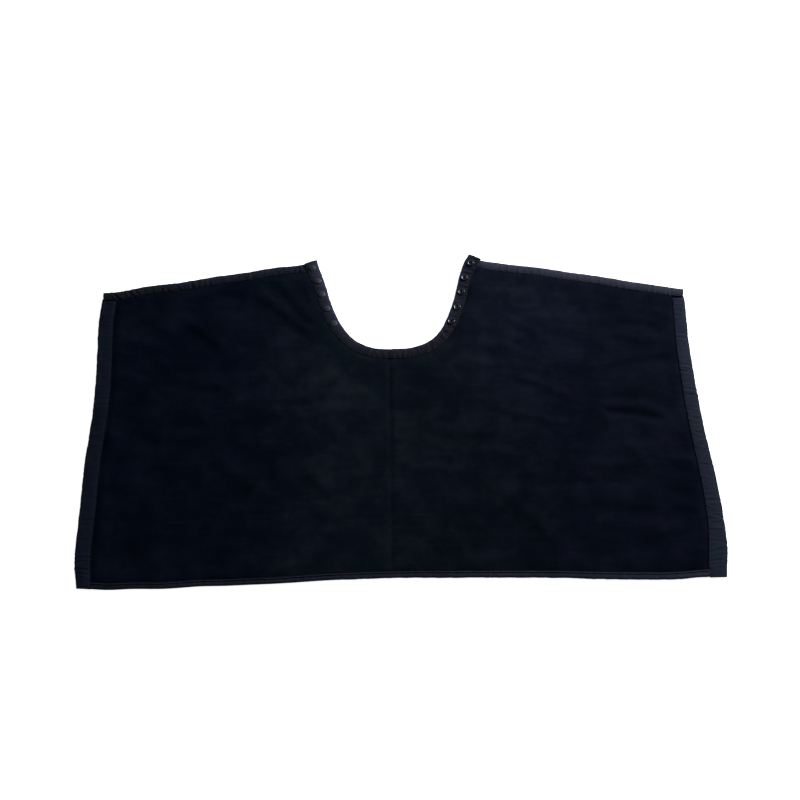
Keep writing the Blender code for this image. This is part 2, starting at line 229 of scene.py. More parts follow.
def creases(name, *rows):
    """Adds single creases to an edge: arc length, height, half width and slant."""
    e = EDGES[name]
    for s, high, wide, slant in rows:
        e.k = np.append(e.k, s)
        e.k_high = np.append(e.k_high, high * MM)
        e.k_wide = np.append(e.k_wide, wide * MM)
        e.k_slant = np.append(e.k_slant, slant)


creases("side_left", (0.489, 0.7, 1.6, 0.0), (0.497, 0.5, 1.4, 0.05), (0.512, -0.7, 1.6, 0.1), (0.430, -0.5, 1.4, 0.0))
creases(
    "side_right", (0.318, -0.5, 2.2, 0.0), (0.325, 0.8, 2.2, 0.02), (0.372, 0.7, 2.0, -0.05), (0.364, -0.4, 2.0, -0.05),
    (0.190, -0.5, 1.8, 0.12), (0.128, -0.35, 1.8, -0.06), (0.076, -0.35, 2.2, 0.16), (0.025, -0.4, 1.7, -0.1),
)  # fmt: skip
creases("shoulder_right", (0.0205, -1.0, 1.3, 0.0), (0.070, -0.5, 1.6, 0.3), (0.262, -0.6, 1.5, -0.4))
OUTER_LEFT = EDGES["shoulder_left"].length
creases(
    "shoulder_left", (OUTER_LEFT - 0.0205, -1.1, 1.8, -0.7), (OUTER_LEFT - 0.027, 0.7, 2.2, -0.7),
    (OUTER_LEFT - 0.046, -1.0, 1.6, -0.7), (OUTER_LEFT - 0.052, 0.6, 1.8, -0.7), (OUTER_LEFT - 0.058, -0.8, 1.5, -0.7),
    (OUTER_LEFT - 0.108, -0.9, 1.5, -0.5), (OUTER_LEFT - 0.150, -0.8, 1.6, -0.2), (OUTER_LEFT - 0.157, 0.6, 1.7, -0.2),
    (0.110, -0.8, 1.6, 0.1), (0.118, 0.5, 1.6, 0.1), (0.030, -0.6, 1.6, 0.2),
)  # fmt: skip
creases(
    "neck", (0.152, 0.6, 1.5, 0.5), (0.159, -0.7, 1.4, 0.5), (0.165, 0.6, 1.4, 0.5), (0.172, -0.6, 1.3, 0.5),
    (0.185, 0.6, 1.5, 0.4), (0.191, -0.7, 1.4, 0.4), (0.196, 0.5, 1.4, 0.4),
)  # fmt: skip


def neck_half_width(y):
    return np.interp(y, HALF[:, 1], HALF[:, 0], left=0.0)


def inside_of(x, y):
    """For each plan point: how far it lies inside each tape's inner edge, as the least of all
    the edges, with that edge's index and the arc length along it."""
    names = list(EDGES)
    best = np.full(x.shape, 1e9)
    which = np.zeros(x.shape, int)
    arc = np.zeros(x.shape)
    for i, name in enumerate(names):
        e = EDGES[name]
        if name == "neck":
            a, b = e.p[:-1], e.p[1:]
            d = b - a
            size = np.linalg.norm(d, axis=1)
            u = d / size[:, None]
            dist = np.full(x.shape, 1e9)
            s = np.zeros(x.shape)
            for j in range(len(a)):
                px, py = x - a[j, 0], y - a[j, 1]
                t = px * u[j, 0] + py * u[j, 1]
                if 0 < j < len(a) - 1:
                    t = np.clip(t, 0, size[j])
                elif j == 0:
                    t = np.minimum(t, size[j])
                else:
                    t = np.maximum(t, 0)
                r = np.hypot(px - t * u[j, 0], py - t * u[j, 1])
                near = r < dist
                dist = np.where(near, r, dist)
                s = np.where(near, e.s[j] + t, s)
            sign = np.where((y < NECK_BOTTOM_Y) | (np.abs(x) > neck_half_width(y)), 1.0, -1.0)
            dist = dist * sign
        else:
            a, t = e.p[0], e.t[0]
            px, py = x - a[0], y - a[1]
            s = px * t[0] + py * t[1]
            dist = -px * t[1] + py * t[0]
        gap = dist - e.width(s)
        near = gap < best
        best = np.where(near, gap, best)
        which = np.where(near, i, which)
        arc = np.where(near, s, arc)
    return best, which, arc


# ------------------------------------------------------------------ how it lies on the table
# (x, y) on the plan in mm, and how far that place lies from it in mm: the side edges wander,
# the hem's middle is drawn up, the shoulders sag and the neck corners stand out.
BORDER = np.array(
    [
        (-490, 240, 3, -3), (-490, 180, 0, -2), (-490, 110, 3, -1), (-490, 45, 5, 0), (-490, -20, 4, 0),
        (-490, -90, 0, 0), (-490, -180, 0, 0), (-490, -262, 0, 0), (-490, -300, 7, -2),
        (-440, -300, 1, -5), (-400, -300, 0, -4), (-355, -300, 0, -5), (-298, -300, 0, -2), (-260, -300, 0, -2),
        (-223, -300, 0, -1), (-188, -300, 0, 0), (-148, -300, 0, 2), (-110, -300, 0, 4), (-72, -300, 0, 5),
        (3, -300, 0, 6), (78, -300, 0, 5), (154, -300, 0, 4), (244, -300, 0, 2), (304, -300, 0, -1),
        (365, -300, 1, -3), (425, -300, 3, -3), (464, -300, 6, 0), (490, -300, 5.5, 0),
        (490, -262, 12, 0), (490, -205, 13, 0), (490, -150, 11, 0), (490, -95, 7, 0), (490, -50, 3, 0),
        (490, 0, 0, 0), (490, 60, -2, -1), (490, 130, -3, -3), (490, 190, -1, -8), (490, 240, -1, -13),
        (442, 248, -1, -11), (395, 256, 0, -10), (349, 264, 0, -7), (302, 271, 0, -6), (255, 279, 0, -4),
        (207, 287, 0, -5), (175, 293, 0, -5), (156, 296, 0, -6), (143, 298, 0, -4), (131, 300, -2, 1),
        (128, 290, -5, 1), (118, 257, -6, -1), (107, 224, -3, -1), (98, 193, -3, -2), (91, 175, -3, -1),
        (70, 144, -1, -1), (0, 118, -1, -2), (-70, 144, 1, -2), (-91, 175, 1, -2), (-98, 193, 0, -2),
        (-107, 224, 0, -2), (-118, 257, 2, -3), (-131, 300, 3, -5), (-145, 298, 1, -7), (-160, 295, 0, -8),
        (-191, 290, 0, -5), (-218, 285, 0, -5), (-245, 281, 0, -6), (-300, 272, 0, -5), (-353, 263, 0, -6),
        (-407, 254, 0, -4), (-433, 249, 0, -5), (-460, 245, 1, -6),
    ],
    float,
)  # fmt: skip
INSIDE = np.array([(-245, 0, 1, 0), (245, 0, -1, -1), (0, -90, 0, 1), (-245, -180, 0, 1), (245, -180, 2, 1)], float)


def with_inner_row(border):
    """Each border place, and one 24 mm further in that moves with it, so that the tapes keep
    their width."""
    before, after = np.roll(border[:, :2], 1, axis=0), np.roll(border[:, :2], -1, axis=0)
    along = after - before
    along /= np.linalg.norm(along, axis=1)[:, None]
    inner = border.copy()
    inner[:, 0] -= along[:, 1] * 24
    inner[:, 1] += along[:, 0] * 24
    kept = []
    for row in inner:
        others = np.concatenate([border, np.array(kept).reshape(-1, 4)])
        if np.linalg.norm(others[:, :2] - row[:2], axis=1).min() > 22.5:
            kept.append(row)
    return np.concatenate([border, kept, INSIDE])


LAY = with_inner_row(BORDER)


def thin_plate(points, values, stiffness):
    """Weights of the smooth surface through values at points."""
    r = np.linalg.norm(points[:, None] - points[None], axis=2)
    k = np.where(r > 0, r * r * np.log(np.maximum(r, 1e-9)), 0.0) + np.eye(len(points)) * stiffness
    p = np.concatenate([np.ones((len(points), 1)), points], axis=1)
    top = np.concatenate([k, p], axis=1)
    low = np.concatenate([p.T, np.zeros((3, 3))], axis=1)
    rhs = np.concatenate([values, np.zeros((3, values.shape[1]))])
    return np.linalg.solve(np.concatenate([top, low]), rhs)


LAY_AT = LAY[:, :2] / 1000
LAY_W = thin_plate(LAY_AT, LAY[:, 2:] / 1000, 0.00012)


def lay(x, y):
    """Where a plan point lies on the table."""
    shape = np.broadcast(x, y).shape
    q = np.stack([np.broadcast_to(x, shape).ravel(), np.broadcast_to(y, shape).ravel()], axis=1)
    moved = np.zeros_like(q)
    for i in range(0, len(q), 20000):
        part = q[i : i + 20000]
        r = np.linalg.norm(part[:, None] - LAY_AT[None], axis=2)
        k = np.where(r > 0, r * r * np.log(np.maximum(r, 1e-9)), 0.0)
        moved[i : i + 20000] = (
            k @ LAY_W[: len(LAY_AT)] + LAY_W[-3] + part[:, :1] * LAY_W[-2] + part[:, 1:] * LAY_W[-1]
        )
    moved = np.clip(moved, -0.015, 0.015)
    return (q[:, 0] + moved[:, 0]).reshape(shape), (q[:, 1] + moved[:, 1]).reshape(shape)


def rise(x, y):
    """How far the whole stack stands off the table."""
    z = 0.75 * MM + 0.75 * MM * noise2(x * 6.5 + 3.1, y * 7.5 - 1.7, 21)
    z = z + 0.35 * MM * noise2(x * 16 - 5.0, y * 19 + 2.0, 22)
    z = z + 3.8 * MM * np.exp(-(((x - 0.139) / 0.026) ** 2) - ((y - 0.304) / 0.026) ** 2)
    z = z + 2.5 * MM * np.exp(-(((x + 0.134) / 0.024) ** 2) - ((y - 0.302) / 0.022) ** 2)
    z = z + 1.4 * MM * np.exp(-(((x + 0.482) / 0.030) ** 2) - ((y + 0.292) / 0.026) ** 2)
    z = z + 1.2 * MM * np.exp(-(((x - 0.484) / 0.030) ** 2) - ((y - 0.236) / 0.026) ** 2)
    return np.maximum(z, 0.10 * MM)


# ------------------------------------------------------------------ ripples and folds
# Ridges that show: from (x, y) to (x, y) in mm, half width in mm, height in mm.
RIDGES = [
    (140, 86, 250, 72, 7, 0.8), (184, 67, 270, 30, 7, 0.6), (148, 12, 214, -15, 8, 0.7), (214, -15, 286, -30, 7, 0.6),
    (358, 86, 458, 106, 8, 1.0), (300, 76, 360, 84, 9, 0.4), (366, 143, 410, 130, 7, 0.5), (410, 128, 452, 131, 7, 0.5),
    (184, 132, 234, 142, 7, 0.6), (194, 172, 246, 140, 8, 0.7), (132, 112, 194, 124, 8, 0.6), (186, 206, 232, 228, 7, 1.0),
    (338, 5, 424, -10, 7, 1.3), (342, -13, 424, -27, 6, -1.0), (345, -40, 455, -50, 9, 0.5), (320, 26, 400, 30, 9, 0.4),
    (-350, 188, -284, 124, 9, 0.8), (-345, 62, -275, 46, 8, 0.8),
    (-220, 226, -136, 152, 8, 1.2), (-206, 276, -140, 182, 9, 1.1), (-274, -88, -202, -158, 12, 0.7),
    (-142, -98, -92, -168, 11, 0.8), (158, -142, 236, -232, 12, 0.9), (-440, 226, -250, 243, 9, 0.6),
    (-440, -30, -300, -52, 9, 0.6), (300, -110, 462, -96, 10, 0.8), (310, -170, 455, -182, 10, 0.6),
    (-420, -226, -300, -214, 10, 0.6), (60, -36, 190, -52, 9, 0.5), (-170, 20, -40, 34, 9, 0.5),
    (-455, 150, -380, 120, 8, 0.7), (380, 178, 455, 160, 8, 0.7),
]  # fmt: skip


def ridges(x, y):
    """Height of the ridges, and 0 to 1 for how near a place is to one."""
    z, near = np.zeros(np.shape(x)), np.zeros(np.shape(x))
    for x0, y0, x1, y1, wide, high in RIDGES:
        x0, y0, x1, y1 = x0 * MM, y0 * MM, x1 * MM, y1 * MM
        dx, dy = x1 - x0, y1 - y0
        size = math.hypot(dx, dy)
        t = ((x - x0) * dx + (y - y0) * dy) / size
        off = (-(x - x0) * dy + (y - y0) * dx) / size
        off = off + 0.004 * noise2(t * 16 + x0 * 50, np.full(np.shape(t), y0 * 40), 31)
        along = ramp(-0.018, 0.020, t) * ramp(-0.018, 0.020, size - t)
        w = wide * MM
        z = z + along * high * MM * (np.exp(-((off / w) ** 2)) - 0.5 * np.exp(-(((off + 1.9 * w) / (1.3 * w)) ** 2)))
        near = np.maximum(near, along * min(1.0, abs(high)) * np.exp(-(((off + 0.8 * w) / (3.2 * w)) ** 2)))
    return z, near


def ripples(x, y):
    """Fine ripples that run from side to side, stronger on the socket side."""
    warp_y = y + 0.010 * noise2(x * 5, y * 4, 41)
    z = 0.50 * noise2(x * 7 + 1, warp_y * 34, 42) + 0.18 * noise2(x * 13, warp_y * 62, 43)
    z = z + 0.35 * noise2(x * 18, y * 20, 44) * ramp(0.05, -0.3, x)
    return z * MM * (0.8 + 0.45 * ramp(-0.1, 0.3, x))


def settle():
    """A cloth simulation: a sheet with a little spare length, held at its bound edges, settles
    on a flat surface from the seeded ripples. Returns its height on a regular grid."""
    step = FOLD_X / 32
    nx, ny = 60, 36
    gx = np.arange(-nx, nx + 1) * step
    gy = np.arange(-ny, ny + 1) * step
    x, y = np.meshgrid(gx, gy, indexing="ij")
    gap, _, _ = inside_of(x, y)
    keep = gap > -0.010
    index = -np.ones(x.shape, int)
    index[keep] = np.arange(keep.sum())
    free = ramp(0.0, 0.03, gap[keep])
    co = np.stack([x[keep], y[keep], (1.6 * ripples(x, y) + 1.5 * ridges(x, y)[0])[keep] * free], axis=1)
    a, b, c, d = index[:-1, :-1], index[1:, :-1], index[1:, 1:], index[:-1, 1:]
    quads = np.stack([a, b, c, d], axis=2).reshape(-1, 4)
    quads = quads[quads.min(axis=1) >= 0]
    data = bpy.data.meshes.new("settling")
    data.from_pydata(co.tolist(), [], quads.tolist())
    ob = bpy.data.objects.new("settling", data)
    scene = bpy.context.scene
    scene.collection.objects.link(ob)
    ob.shape_key_add(name="Basis")
    cut = ob.shape_key_add(name="cut")
    size = co * (1.003, 1.02, 0)
    cut.data.foreach_set("co", size.astype(np.float32).ravel())
    cut.value = 0
    pins = ob.vertex_groups.new(name="bound")
    pins.add([int(i) for i in np.nonzero(gap[keep] < 0.002)[0]], 1.0, "REPLACE")
    cloth = ob.modifiers.new("Cloth", "CLOTH")
    s = cloth.settings
    s.quality = 6
    s.mass = 0.05
    s.effector_weights.gravity = 0.01
    s.bending_model = "LINEAR"
    s.tension_stiffness = s.compression_stiffness = 200
    s.shear_stiffness = 80
    s.bending_stiffness = 5
    s.tension_damping = s.compression_damping = s.shear_damping = 5
    s.bending_damping = 0.5
    s.vertex_group_mass = "bound"
    s.rest_shape_key = cut
    cloth.collision_settings.distance_min = 0.001
    cloth.collision_settings.use_self_collision = False
    flat = bpy.data.meshes.new("under")
    z = -0.0035
    flat.from_pydata([(-1, -1, z), (1, -1, z), (1, 1, z), (-1, 1, z)], [], [(0, 1, 2, 3)])
    under = bpy.data.objects.new("under", flat)
    scene.collection.objects.link(under)
    under.modifiers.new("Collision", "COLLISION")
    under.collision.thickness_outer = 0.001
    first, last = scene.frame_start, scene.frame_end
    frames = 15
    scene.frame_start, scene.frame_end = 1, frames + 1
    cloth.point_cache.frame_start, cloth.point_cache.frame_end = 1, frames + 1
    for f in range(1, frames + 1):
        scene.frame_set(f)
    shaped = ob.evaluated_get(bpy.context.evaluated_depsgraph_get()).data
    got = np.zeros(len(co) * 3)
    shaped.vertices.foreach_get("co", got)
    got = got.reshape(-1, 3)
    height = np.zeros(x.shape)
    height[keep] = got[:, 2]
    for o in (ob, under):
        old = o.data
        bpy.data.objects.remove(o, do_unlink=True)
        bpy.data.meshes.remove(old)
    scene.frame_set(1)
    scene.frame_start, scene.frame_end = first, last
    # beyond the cloth's border the nearest height carries on, so that no sample reads a hole
    known = keep.copy()
    for _ in range(6):
        total, count = np.zeros(x.shape), np.zeros(x.shape)
        for ax, shift in ((0, 1), (0, -1), (1, 1), (1, -1)):
            near = np.roll(known, shift, axis=ax)
            total += np.where(near, np.roll(height, shift, axis=ax), 0)
            count += near
        grow = ~known & (count > 0)
        height[grow] = total[grow] / count[grow]
        known |= grow
    print("settled", round(float(got[:, 2].min()) * 1000, 2), round(float(got[:, 2].max()) * 1000, 2))
    return gx, gy, height


SETTLED = settle()


def gentle(z):
    """Rounds off the highest tops and the deepest valleys."""
    z = np.where(z > 1.2 * MM, 1.2 * MM + 1.1 * MM * np.tanh((z - 1.2 * MM) / (1.1 * MM)), z)
    return np.where(z < -0.8 * MM, -0.8 * MM + 1.0 * MM * np.tanh((z + 0.8 * MM) / (1.0 * MM)), z)


def field(x, y):
    """Height of the ripples and folds, in the middle of the sheet."""
    fold, near = ridges(x, y)
    if SETTLED is None:
        return gentle(1.0 * ripples(x, y) + 1.3 * fold + 0.5 * MM)
    gx, gy, height = SETTLED
    step = gx[1] - gx[0]
    fx = np.clip((x - gx[0]) / step, 1, len(gx) - 3.001)
    fy = np.clip((y - gy[0]) / step, 1, len(gy) - 3.001)
    ix, iy = fx.astype(int), fy.astype(int)
    tx, ty = fx - ix, fy - iy

    def cubic(t):
        return (
            (-0.5 * t + t * t - 0.5 * t**3), (1 - 2.5 * t * t + 1.5 * t**3),
            (0.5 * t + 2 * t * t - 1.5 * t**3), (-0.5 * t * t + 0.5 * t**3),
        )  # fmt: skip

    wx, wy = cubic(tx), cubic(ty)
    z = np.zeros(np.shape(x))
    for i in range(4):
        row = np.zeros(np.shape(x))
        for j in range(4):
            row = row + wy[j] * height[ix + i - 1, iy + j - 1]
        z = z + wx[i] * row
    return gentle(gentle(z + 0.9 * MM + 0.35 * ripples(x, y)) * (1 - 0.8 * near) + 0.4 * MM * near + 1.25 * fold)


# ------------------------------------------------------------------ levels of the stack
def tape_top(e, s, d):
    """Height of the tape's outer face, d inside the edge e at arc length s, above the table."""
    w = e.width(s)
    x, y = e.plan(s, d)
    roll = (e.rim - TAPE_LOW) / 2
    u = np.clip((d - roll) / (w - roll), 0, 1.3)
    z = e.rim + (TAPE_TOP - e.rim) * np.clip(1 - (1 - np.minimum(u, 1)) ** 2, 0, 1) ** 0.85
    seam = 0.20 * MM * np.exp(-(((d - (w - 2.3 * MM)) / (0.85 * MM)) ** 2)) + 0.38 * MM * ramp(w - 1.9 * MM, w, d)
    z = z - e.seam_pull * seam
    body = ramp(-0.05, 0.25, u) * (1 - 0.45 * ramp(0.80, 1.0, u))
    z = z + e.pucker(s, d) * (0.35 + 0.65 * body)
    z = z + 0.12 * MM * noise2(s * 130, d * 260, e.seed + 60)
    if e is NECK:
        # the ends of the tape lap at the bottom of the U
        m = e.length / 2 + 0.25 * (d - w / 2)
        z = z + 0.55 * MM * ramp(-5.2 * MM, -4.2 * MM, s - m) * ramp(-5.2 * MM, -4.0 * MM, m - s)
    return z + rise(x, y)


def cover_top(x, y, gap, which, arc):
    """Height of the outer cloth's face."""
    inside = ramp(-0.001, 0.016, gap)
    dip = np.array([e.dip for e in EDGES.values()])[which]
    deep = 1.55 * MM * (0.14 + 0.86 * dip)
    near = 5.35 * MM - deep * (1 - ramp(0.0003, 0.0080, gap)) - 0.45 * MM * ramp(0.009, 0.030, gap)
    z = near + field(x, y) * inside
    # small gathers where the stitching draws the cloth in
    for i, e in enumerate(EDGES.values()):
        here = which == i
        if here.any():
            pull = e.pucker(arc[here], np.full(here.sum(), e.w0)) * np.exp(-np.maximum(gap[here], 0) / 0.011)
            z[here] += 1.0 * pull * ramp(0.0, 0.006, gap[here])
    # the crease of the middle fold, and the last trace of the side folds
    z = z - 0.85 * MM * np.exp(-(((x + 0.008 - 0.006 * y) / 0.0034) ** 2)) * inside
    z = z + 0.30 * MM * np.exp(-(((x + 0.008 - 0.006 * y - 0.010) / 0.007) ** 2)) * inside
    for side in (-1, 1):
        z = z - 0.16 * MM * np.exp(-(((x - side * FOLD_X) / 0.004) ** 2)) * inside
    # under the tape it is held down, below the tape's own thickness
    held = 3.85 * MM - 0.9 * MM * ramp(-0.004, -0.010, gap)
    z = np.where(gap < 0.0004, held + (z - held) * ramp(-0.0018, 0.0004, gap), z)
    return z + rise(x, y)


def lining_low(x, y, gap):
    return rise(x, y) + 1.0 * MM * ramp(0.004, -0.002, gap) + (0.30 * MM + 0.12 * field(x, y)) * ramp(0.0, 0.01, gap)


# ------------------------------------------------------------------ meshes
def new_object(name, co, faces, uv=None, smooth=True):
    data = bpy.data.meshes.new(name)
    data.from_pydata(np.asarray(co).tolist(), [], faces if isinstance(faces, list) else faces.tolist())
    data.update()
    if uv is not None:
        layer = data.uv_layers.new(name="cloth")
        loops = np.zeros(len(data.loops), np.int32)
        data.loops.foreach_get("vertex_index", loops)
        layer.data.foreach_set("uv", np.asarray(uv, np.float32)[loops].ravel())
    if smooth:
        data.polygons.foreach_set("use_smooth", [True] * len(data.polygons))
    ob = bpy.data.objects.new(name, data)
    bpy.context.scene.collection.objects.link(ob)
    return ob


def vertex_normals(co, quads):
    """Area-weighted normals of a quad grid."""
    a, b, c, d = (co[quads[:, i]] for i in range(4))
    n = np.cross(c - a, d - b)
    made = np.zeros_like(co)
    for i in range(4):
        np.add.at(made, quads[:, i], n)
    return made / np.maximum(np.linalg.norm(made, axis=1), 1e-12)[:, None]


def grid_lines(step, fine_fold, fine_middle):
    """X of the grid's columns: closer together where the sheet folds."""
    runs = [(0.0, 0.028, fine_middle), (0.028, SEAM_X, step), (SEAM_X, 0.252, step), (0.252, 0.276, fine_fold), (0.276, 0.484, step)]
    xs = [0.0]
    for a, b, size in runs:
        n = max(1, round((b - a) / size))
        xs += [a + (b - a) * i / n for i in range(1, n + 1)]
    xs = np.array(xs)
    return np.concatenate([-xs[:0:-1], xs])


def plan_grid(step, fine_fold, fine_middle, border):
    """A grid over the plan, kept where it lies more than border inside the tapes' inner edges
    (a negative border reaches under the tape), with its rim moved onto that line."""
    xs = grid_lines(step, fine_fold, fine_middle)
    ys = np.arange(HEM_Y, TOP_Y + step, step)
    x, y = np.meshgrid(xs, ys, indexing="ij")
    gap, which, arc = inside_of(x, y)
    good = gap > border - 0.35 * step
    index = -np.ones(x.shape, int)
    quads_ok = good[:-1, :-1] & good[1:, :-1] & good[1:, 1:] & good[:-1, 1:]
    used = np.zeros(x.shape, bool)
    for i, j in ((0, 0), (1, 0), (1, 1), (0, 1)):
        used[i : x.shape[0] - 1 + i, j : x.shape[1] - 1 + j] |= quads_ok
    index[used] = np.arange(used.sum())
    corners = [index[:-1, :-1], index[1:, :-1], index[1:, 1:], index[:-1, 1:]]
    quads = np.stack([c[quads_ok] for c in corners], axis=1)
    px, py, gap, which, arc = x[used], y[used], gap[used], which[used], arc[used]
    # rim vertices: those on an edge of one face only
    pairs = np.sort(np.concatenate([quads[:, [0, 1]], quads[:, [1, 2]], quads[:, [2, 3]], quads[:, [3, 0]]]), axis=1)
    unique, count = np.unique(pairs, axis=0, return_counts=True)
    rim = np.unique(unique[count == 1])
    h = 0.0005
    for _ in range(3):
        gx = (inside_of(px[rim] + h, py[rim])[0] - inside_of(px[rim] - h, py[rim])[0]) / (2 * h)
        gy = (inside_of(px[rim], py[rim] + h)[0] - inside_of(px[rim], py[rim] - h)[0]) / (2 * h)
        off = inside_of(px[rim], py[rim])[0] - border
        size = np.maximum(gx * gx + gy * gy, 0.3)
        on_seam = np.isclose(np.abs(px[rim]), SEAM_X)
        move_x = np.clip(-off * gx / size, -step, step)
        move_y = np.clip(-off * gy / size, -step, step)
        px[rim] += np.where(on_seam, 0, move_x)
        py[rim] += move_y
    gap, which, arc = inside_of(px, py)
    return px, py, gap, which, arc, quads


PARTS = (("left", -1.0, -SEAM_X), ("middle", -SEAM_X, SEAM_X), ("right", SEAM_X, 1.0))


def bend(ob, part):
    if part == "left":
        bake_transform(ob)
    elif part == "middle":
        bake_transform(ob)
    else:
        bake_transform(ob)


NODES_OF = {"left": ("left_wing",), "middle": ("left_front", "right_front"), "right": ("right_wing",)}


def layer(name, grid, top, low, look, slot, prefix, thin=True):
    """A layer of the stack as three closed pieces, with one smooth surface across the seams."""
    px, py, gap, which, arc, quads = grid
    wx, wy = lay(px, py)
    upper = np.stack([wx, wy, top], axis=1)
    lower = np.stack([wx, wy, low], axis=1)
    n_up, n_low = vertex_normals(upper, quads), -vertex_normals(lower, quads)
    middle = px[quads].mean(axis=1)
    made = []
    for part, a, b in PARTS:
        own = quads[(middle > a) & (middle < b)]
        used = np.unique(own)
        new = -np.ones(len(px), int)
        new[used] = np.arange(len(used))
        q = new[own]
        n = len(used)
        pairs = np.concatenate([q[:, [0, 1]], q[:, [1, 2]], q[:, [2, 3]], q[:, [3, 0]]])
        key = np.sort(pairs, axis=1)
        _, first, count = np.unique(key, axis=0, return_index=True, return_counts=True)
        rim = pairs[first[count == 1]]
        co = np.concatenate([upper[used], lower[used]])
        faces = np.concatenate([q, q[:, ::-1] + n, np.stack([rim[:, 1], rim[:, 0], rim[:, 0] + n, rim[:, 1] + n], axis=1)])
        uv = np.stack([px[used], py[used]], axis=1)
        ob = new_object(f"{name}_{part}", co, faces, np.concatenate([uv, uv]))
        normals = np.concatenate([n_up[used], n_low[used]])
        ob.data.normals_split_custom_set_from_vertices([tuple(v) for v in normals])
        ob.data.materials.append(look)
        bend(ob, part)
        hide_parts(*[prefix + body for body in NODES_OF[part]])
        box = co[:n]
        flat = (float(np.ptp(px[used])), float(np.ptp(py[used])))
        area = 0.0
        a0, b0, c0, d0 = (np.stack([px[own[:, i]], py[own[:, i]]], axis=1) for i in range(4))
        u, v = c0 - a0, d0 - b0
        area = float(np.abs(u[:, 0] * v[:, 1] - u[:, 1] * v[:, 0]).sum() / 2)
        made.append((ob, flat, area))
        print(ob.name, len(faces), "faces", "flat", round(flat[0], 3), round(flat[1], 3), "area", round(area, 4))
    return made


def tape_mesh(name, e, s0, s1, look, step=1.3 * MM, tuck0=0.0, tuck1=0.0, part=None):
    """Tape folded round the edge e from s0 to s1. tuck lowers an end that runs under another tape."""
    n = max(2, round((s1 - s0) / step))
    s = np.linspace(s0, s1, n + 1)
    w = e.width(s)
    roll = (e.rim - TAPE_LOW) / 2
    top_u = [1.0, 0.975, 0.945, 0.915, 0.885, 0.86, 0.80, 0.70, 0.58, 0.45, 0.32, 0.20, 0.10, 0.0]
    fall = [30, 60, 90, 120, 150]
    low_u = [0.0, 0.25, 0.5, 0.75, 0.9, 1.0]
    rows = []
    scallop = 0.55 * MM * noise2(s * 62, np.full(s.shape, 0.5), e.seed + 80)
    scallop += 0.45 * MM * np.clip(e.pucker(s, np.zeros(s.shape)) / (0.5 * MM), -1, 1) * (1 if e is not NECK else 0.6)
    x0, y0 = e.plan(s, np.zeros(s.shape))
    lift = rise(x0, y0)
    for u in top_u:
        if u > 0.83:  # rows close to the inner edge keep their distance from it
            d = w - (1 - u) * 0.020
        else:
            d = roll + (w - roll) * u
        z = tape_top(e, s, d)
        rows.append((d + scallop * (1 - u), z))
    edge_z = tape_top(e, s, np.full(s.shape, roll))
    for a in fall:
        a = math.radians(a)
        base = lift + TAPE_LOW
        half = (edge_z - base) / 2
        rows.append((roll - roll * math.sin(a) + scallop, base + half + half * math.cos(a)))
    for u in low_u:
        d = roll + (w - 0.4 * MM - roll) * u
        x, y = e.plan(s, d)
        z = rise(x, y) + TAPE_LOW + 0.18 * np.abs(e.pucker(s, d))
        z = z + 0.22 * MM * np.exp(-(((d - (w - 2.3 * MM)) / (0.9 * MM)) ** 2))
        rows.append((d + scallop * (1 - u), z))
    d = np.stack([r[0] for r in rows])
    z = np.stack([r[1] for r in rows])
    # the inner skin, one thickness inside the outer one
    td, tz = np.gradient(d, axis=0), np.gradient(z, axis=0)
    size = np.maximum(np.hypot(td, tz), 1e-9)
    inner_d = d - TAPE_T * tz / size
    inner_z = z + TAPE_T * td / size
    half_n = len(rows)
    drop = tuck0 * ramp(s0 + 0.0075, s0 + 0.0035, s) + tuck1 * ramp(s1 - 0.0075, s1 - 0.0035, s)
    z = z - drop * (z > 2.5 * MM)
    inner_z = inner_z - drop * (inner_z > 2.0 * MM)
    d = np.concatenate([d, inner_d[::-1]])
    z = np.concatenate([z, inner_z[::-1]])
    m = len(d)
    x, y = e.plan(s[None, :], d)
    x, y = lay(x, y)
    co = np.stack([x, y, z], axis=2).reshape(-1, 3)
    across = np.zeros((m, n + 1))
    across[1:half_n] = np.cumsum(np.hypot(np.diff(d[:half_n], axis=0), np.diff(z[:half_n], axis=0)), axis=0)
    across[half_n:] = across[:half_n][::-1]
    uv = np.stack([np.broadcast_to(s, (m, n + 1)), across], axis=2).reshape(-1, 2)
    i, j = np.meshgrid(np.arange(m), np.arange(n), indexing="ij")
    nxt = (i + 1) % m
    quads = np.stack([i * (n + 1) + j, i * (n + 1) + j + 1, nxt * (n + 1) + j + 1, nxt * (n + 1) + j], axis=2).reshape(-1, 4)
    caps = []
    for col, turn in ((0, False), (n, True)):
        for k in range(half_n - 1):
            f = [k * (n + 1) + col, (k + 1) * (n + 1) + col, (m - 2 - k) * (n + 1) + col, (m - 1 - k) * (n + 1) + col]
            caps.append(f[::-1] if turn else f)
    faces = quads.tolist() + caps
    ob = new_object(name, co, faces, uv)
    data = ob.data
    # the section's own edges and the ends stay sharp
    sharp = {0, half_n - 1, half_n, m - 1}
    flags = np.zeros(len(data.edges), bool)
    pairs = np.zeros(len(data.edges) * 2, np.int32)
    data.edges.foreach_get("vertices", pairs)
    pairs = pairs.reshape(-1, 2)
    row, col = pairs // (n + 1), pairs % (n + 1)
    flags |= (row[:, 0] == row[:, 1]) & np.isin(row[:, 0], list(sharp))
    flags |= (col[:, 0] == col[:, 1]) & np.isin(col[:, 0], [0, n])
    mark = data.attributes.new("sharp_edge", "BOOLEAN", "EDGE")
    mark.data.foreach_set("value", flags)
    data.materials.append(look)
    return ob


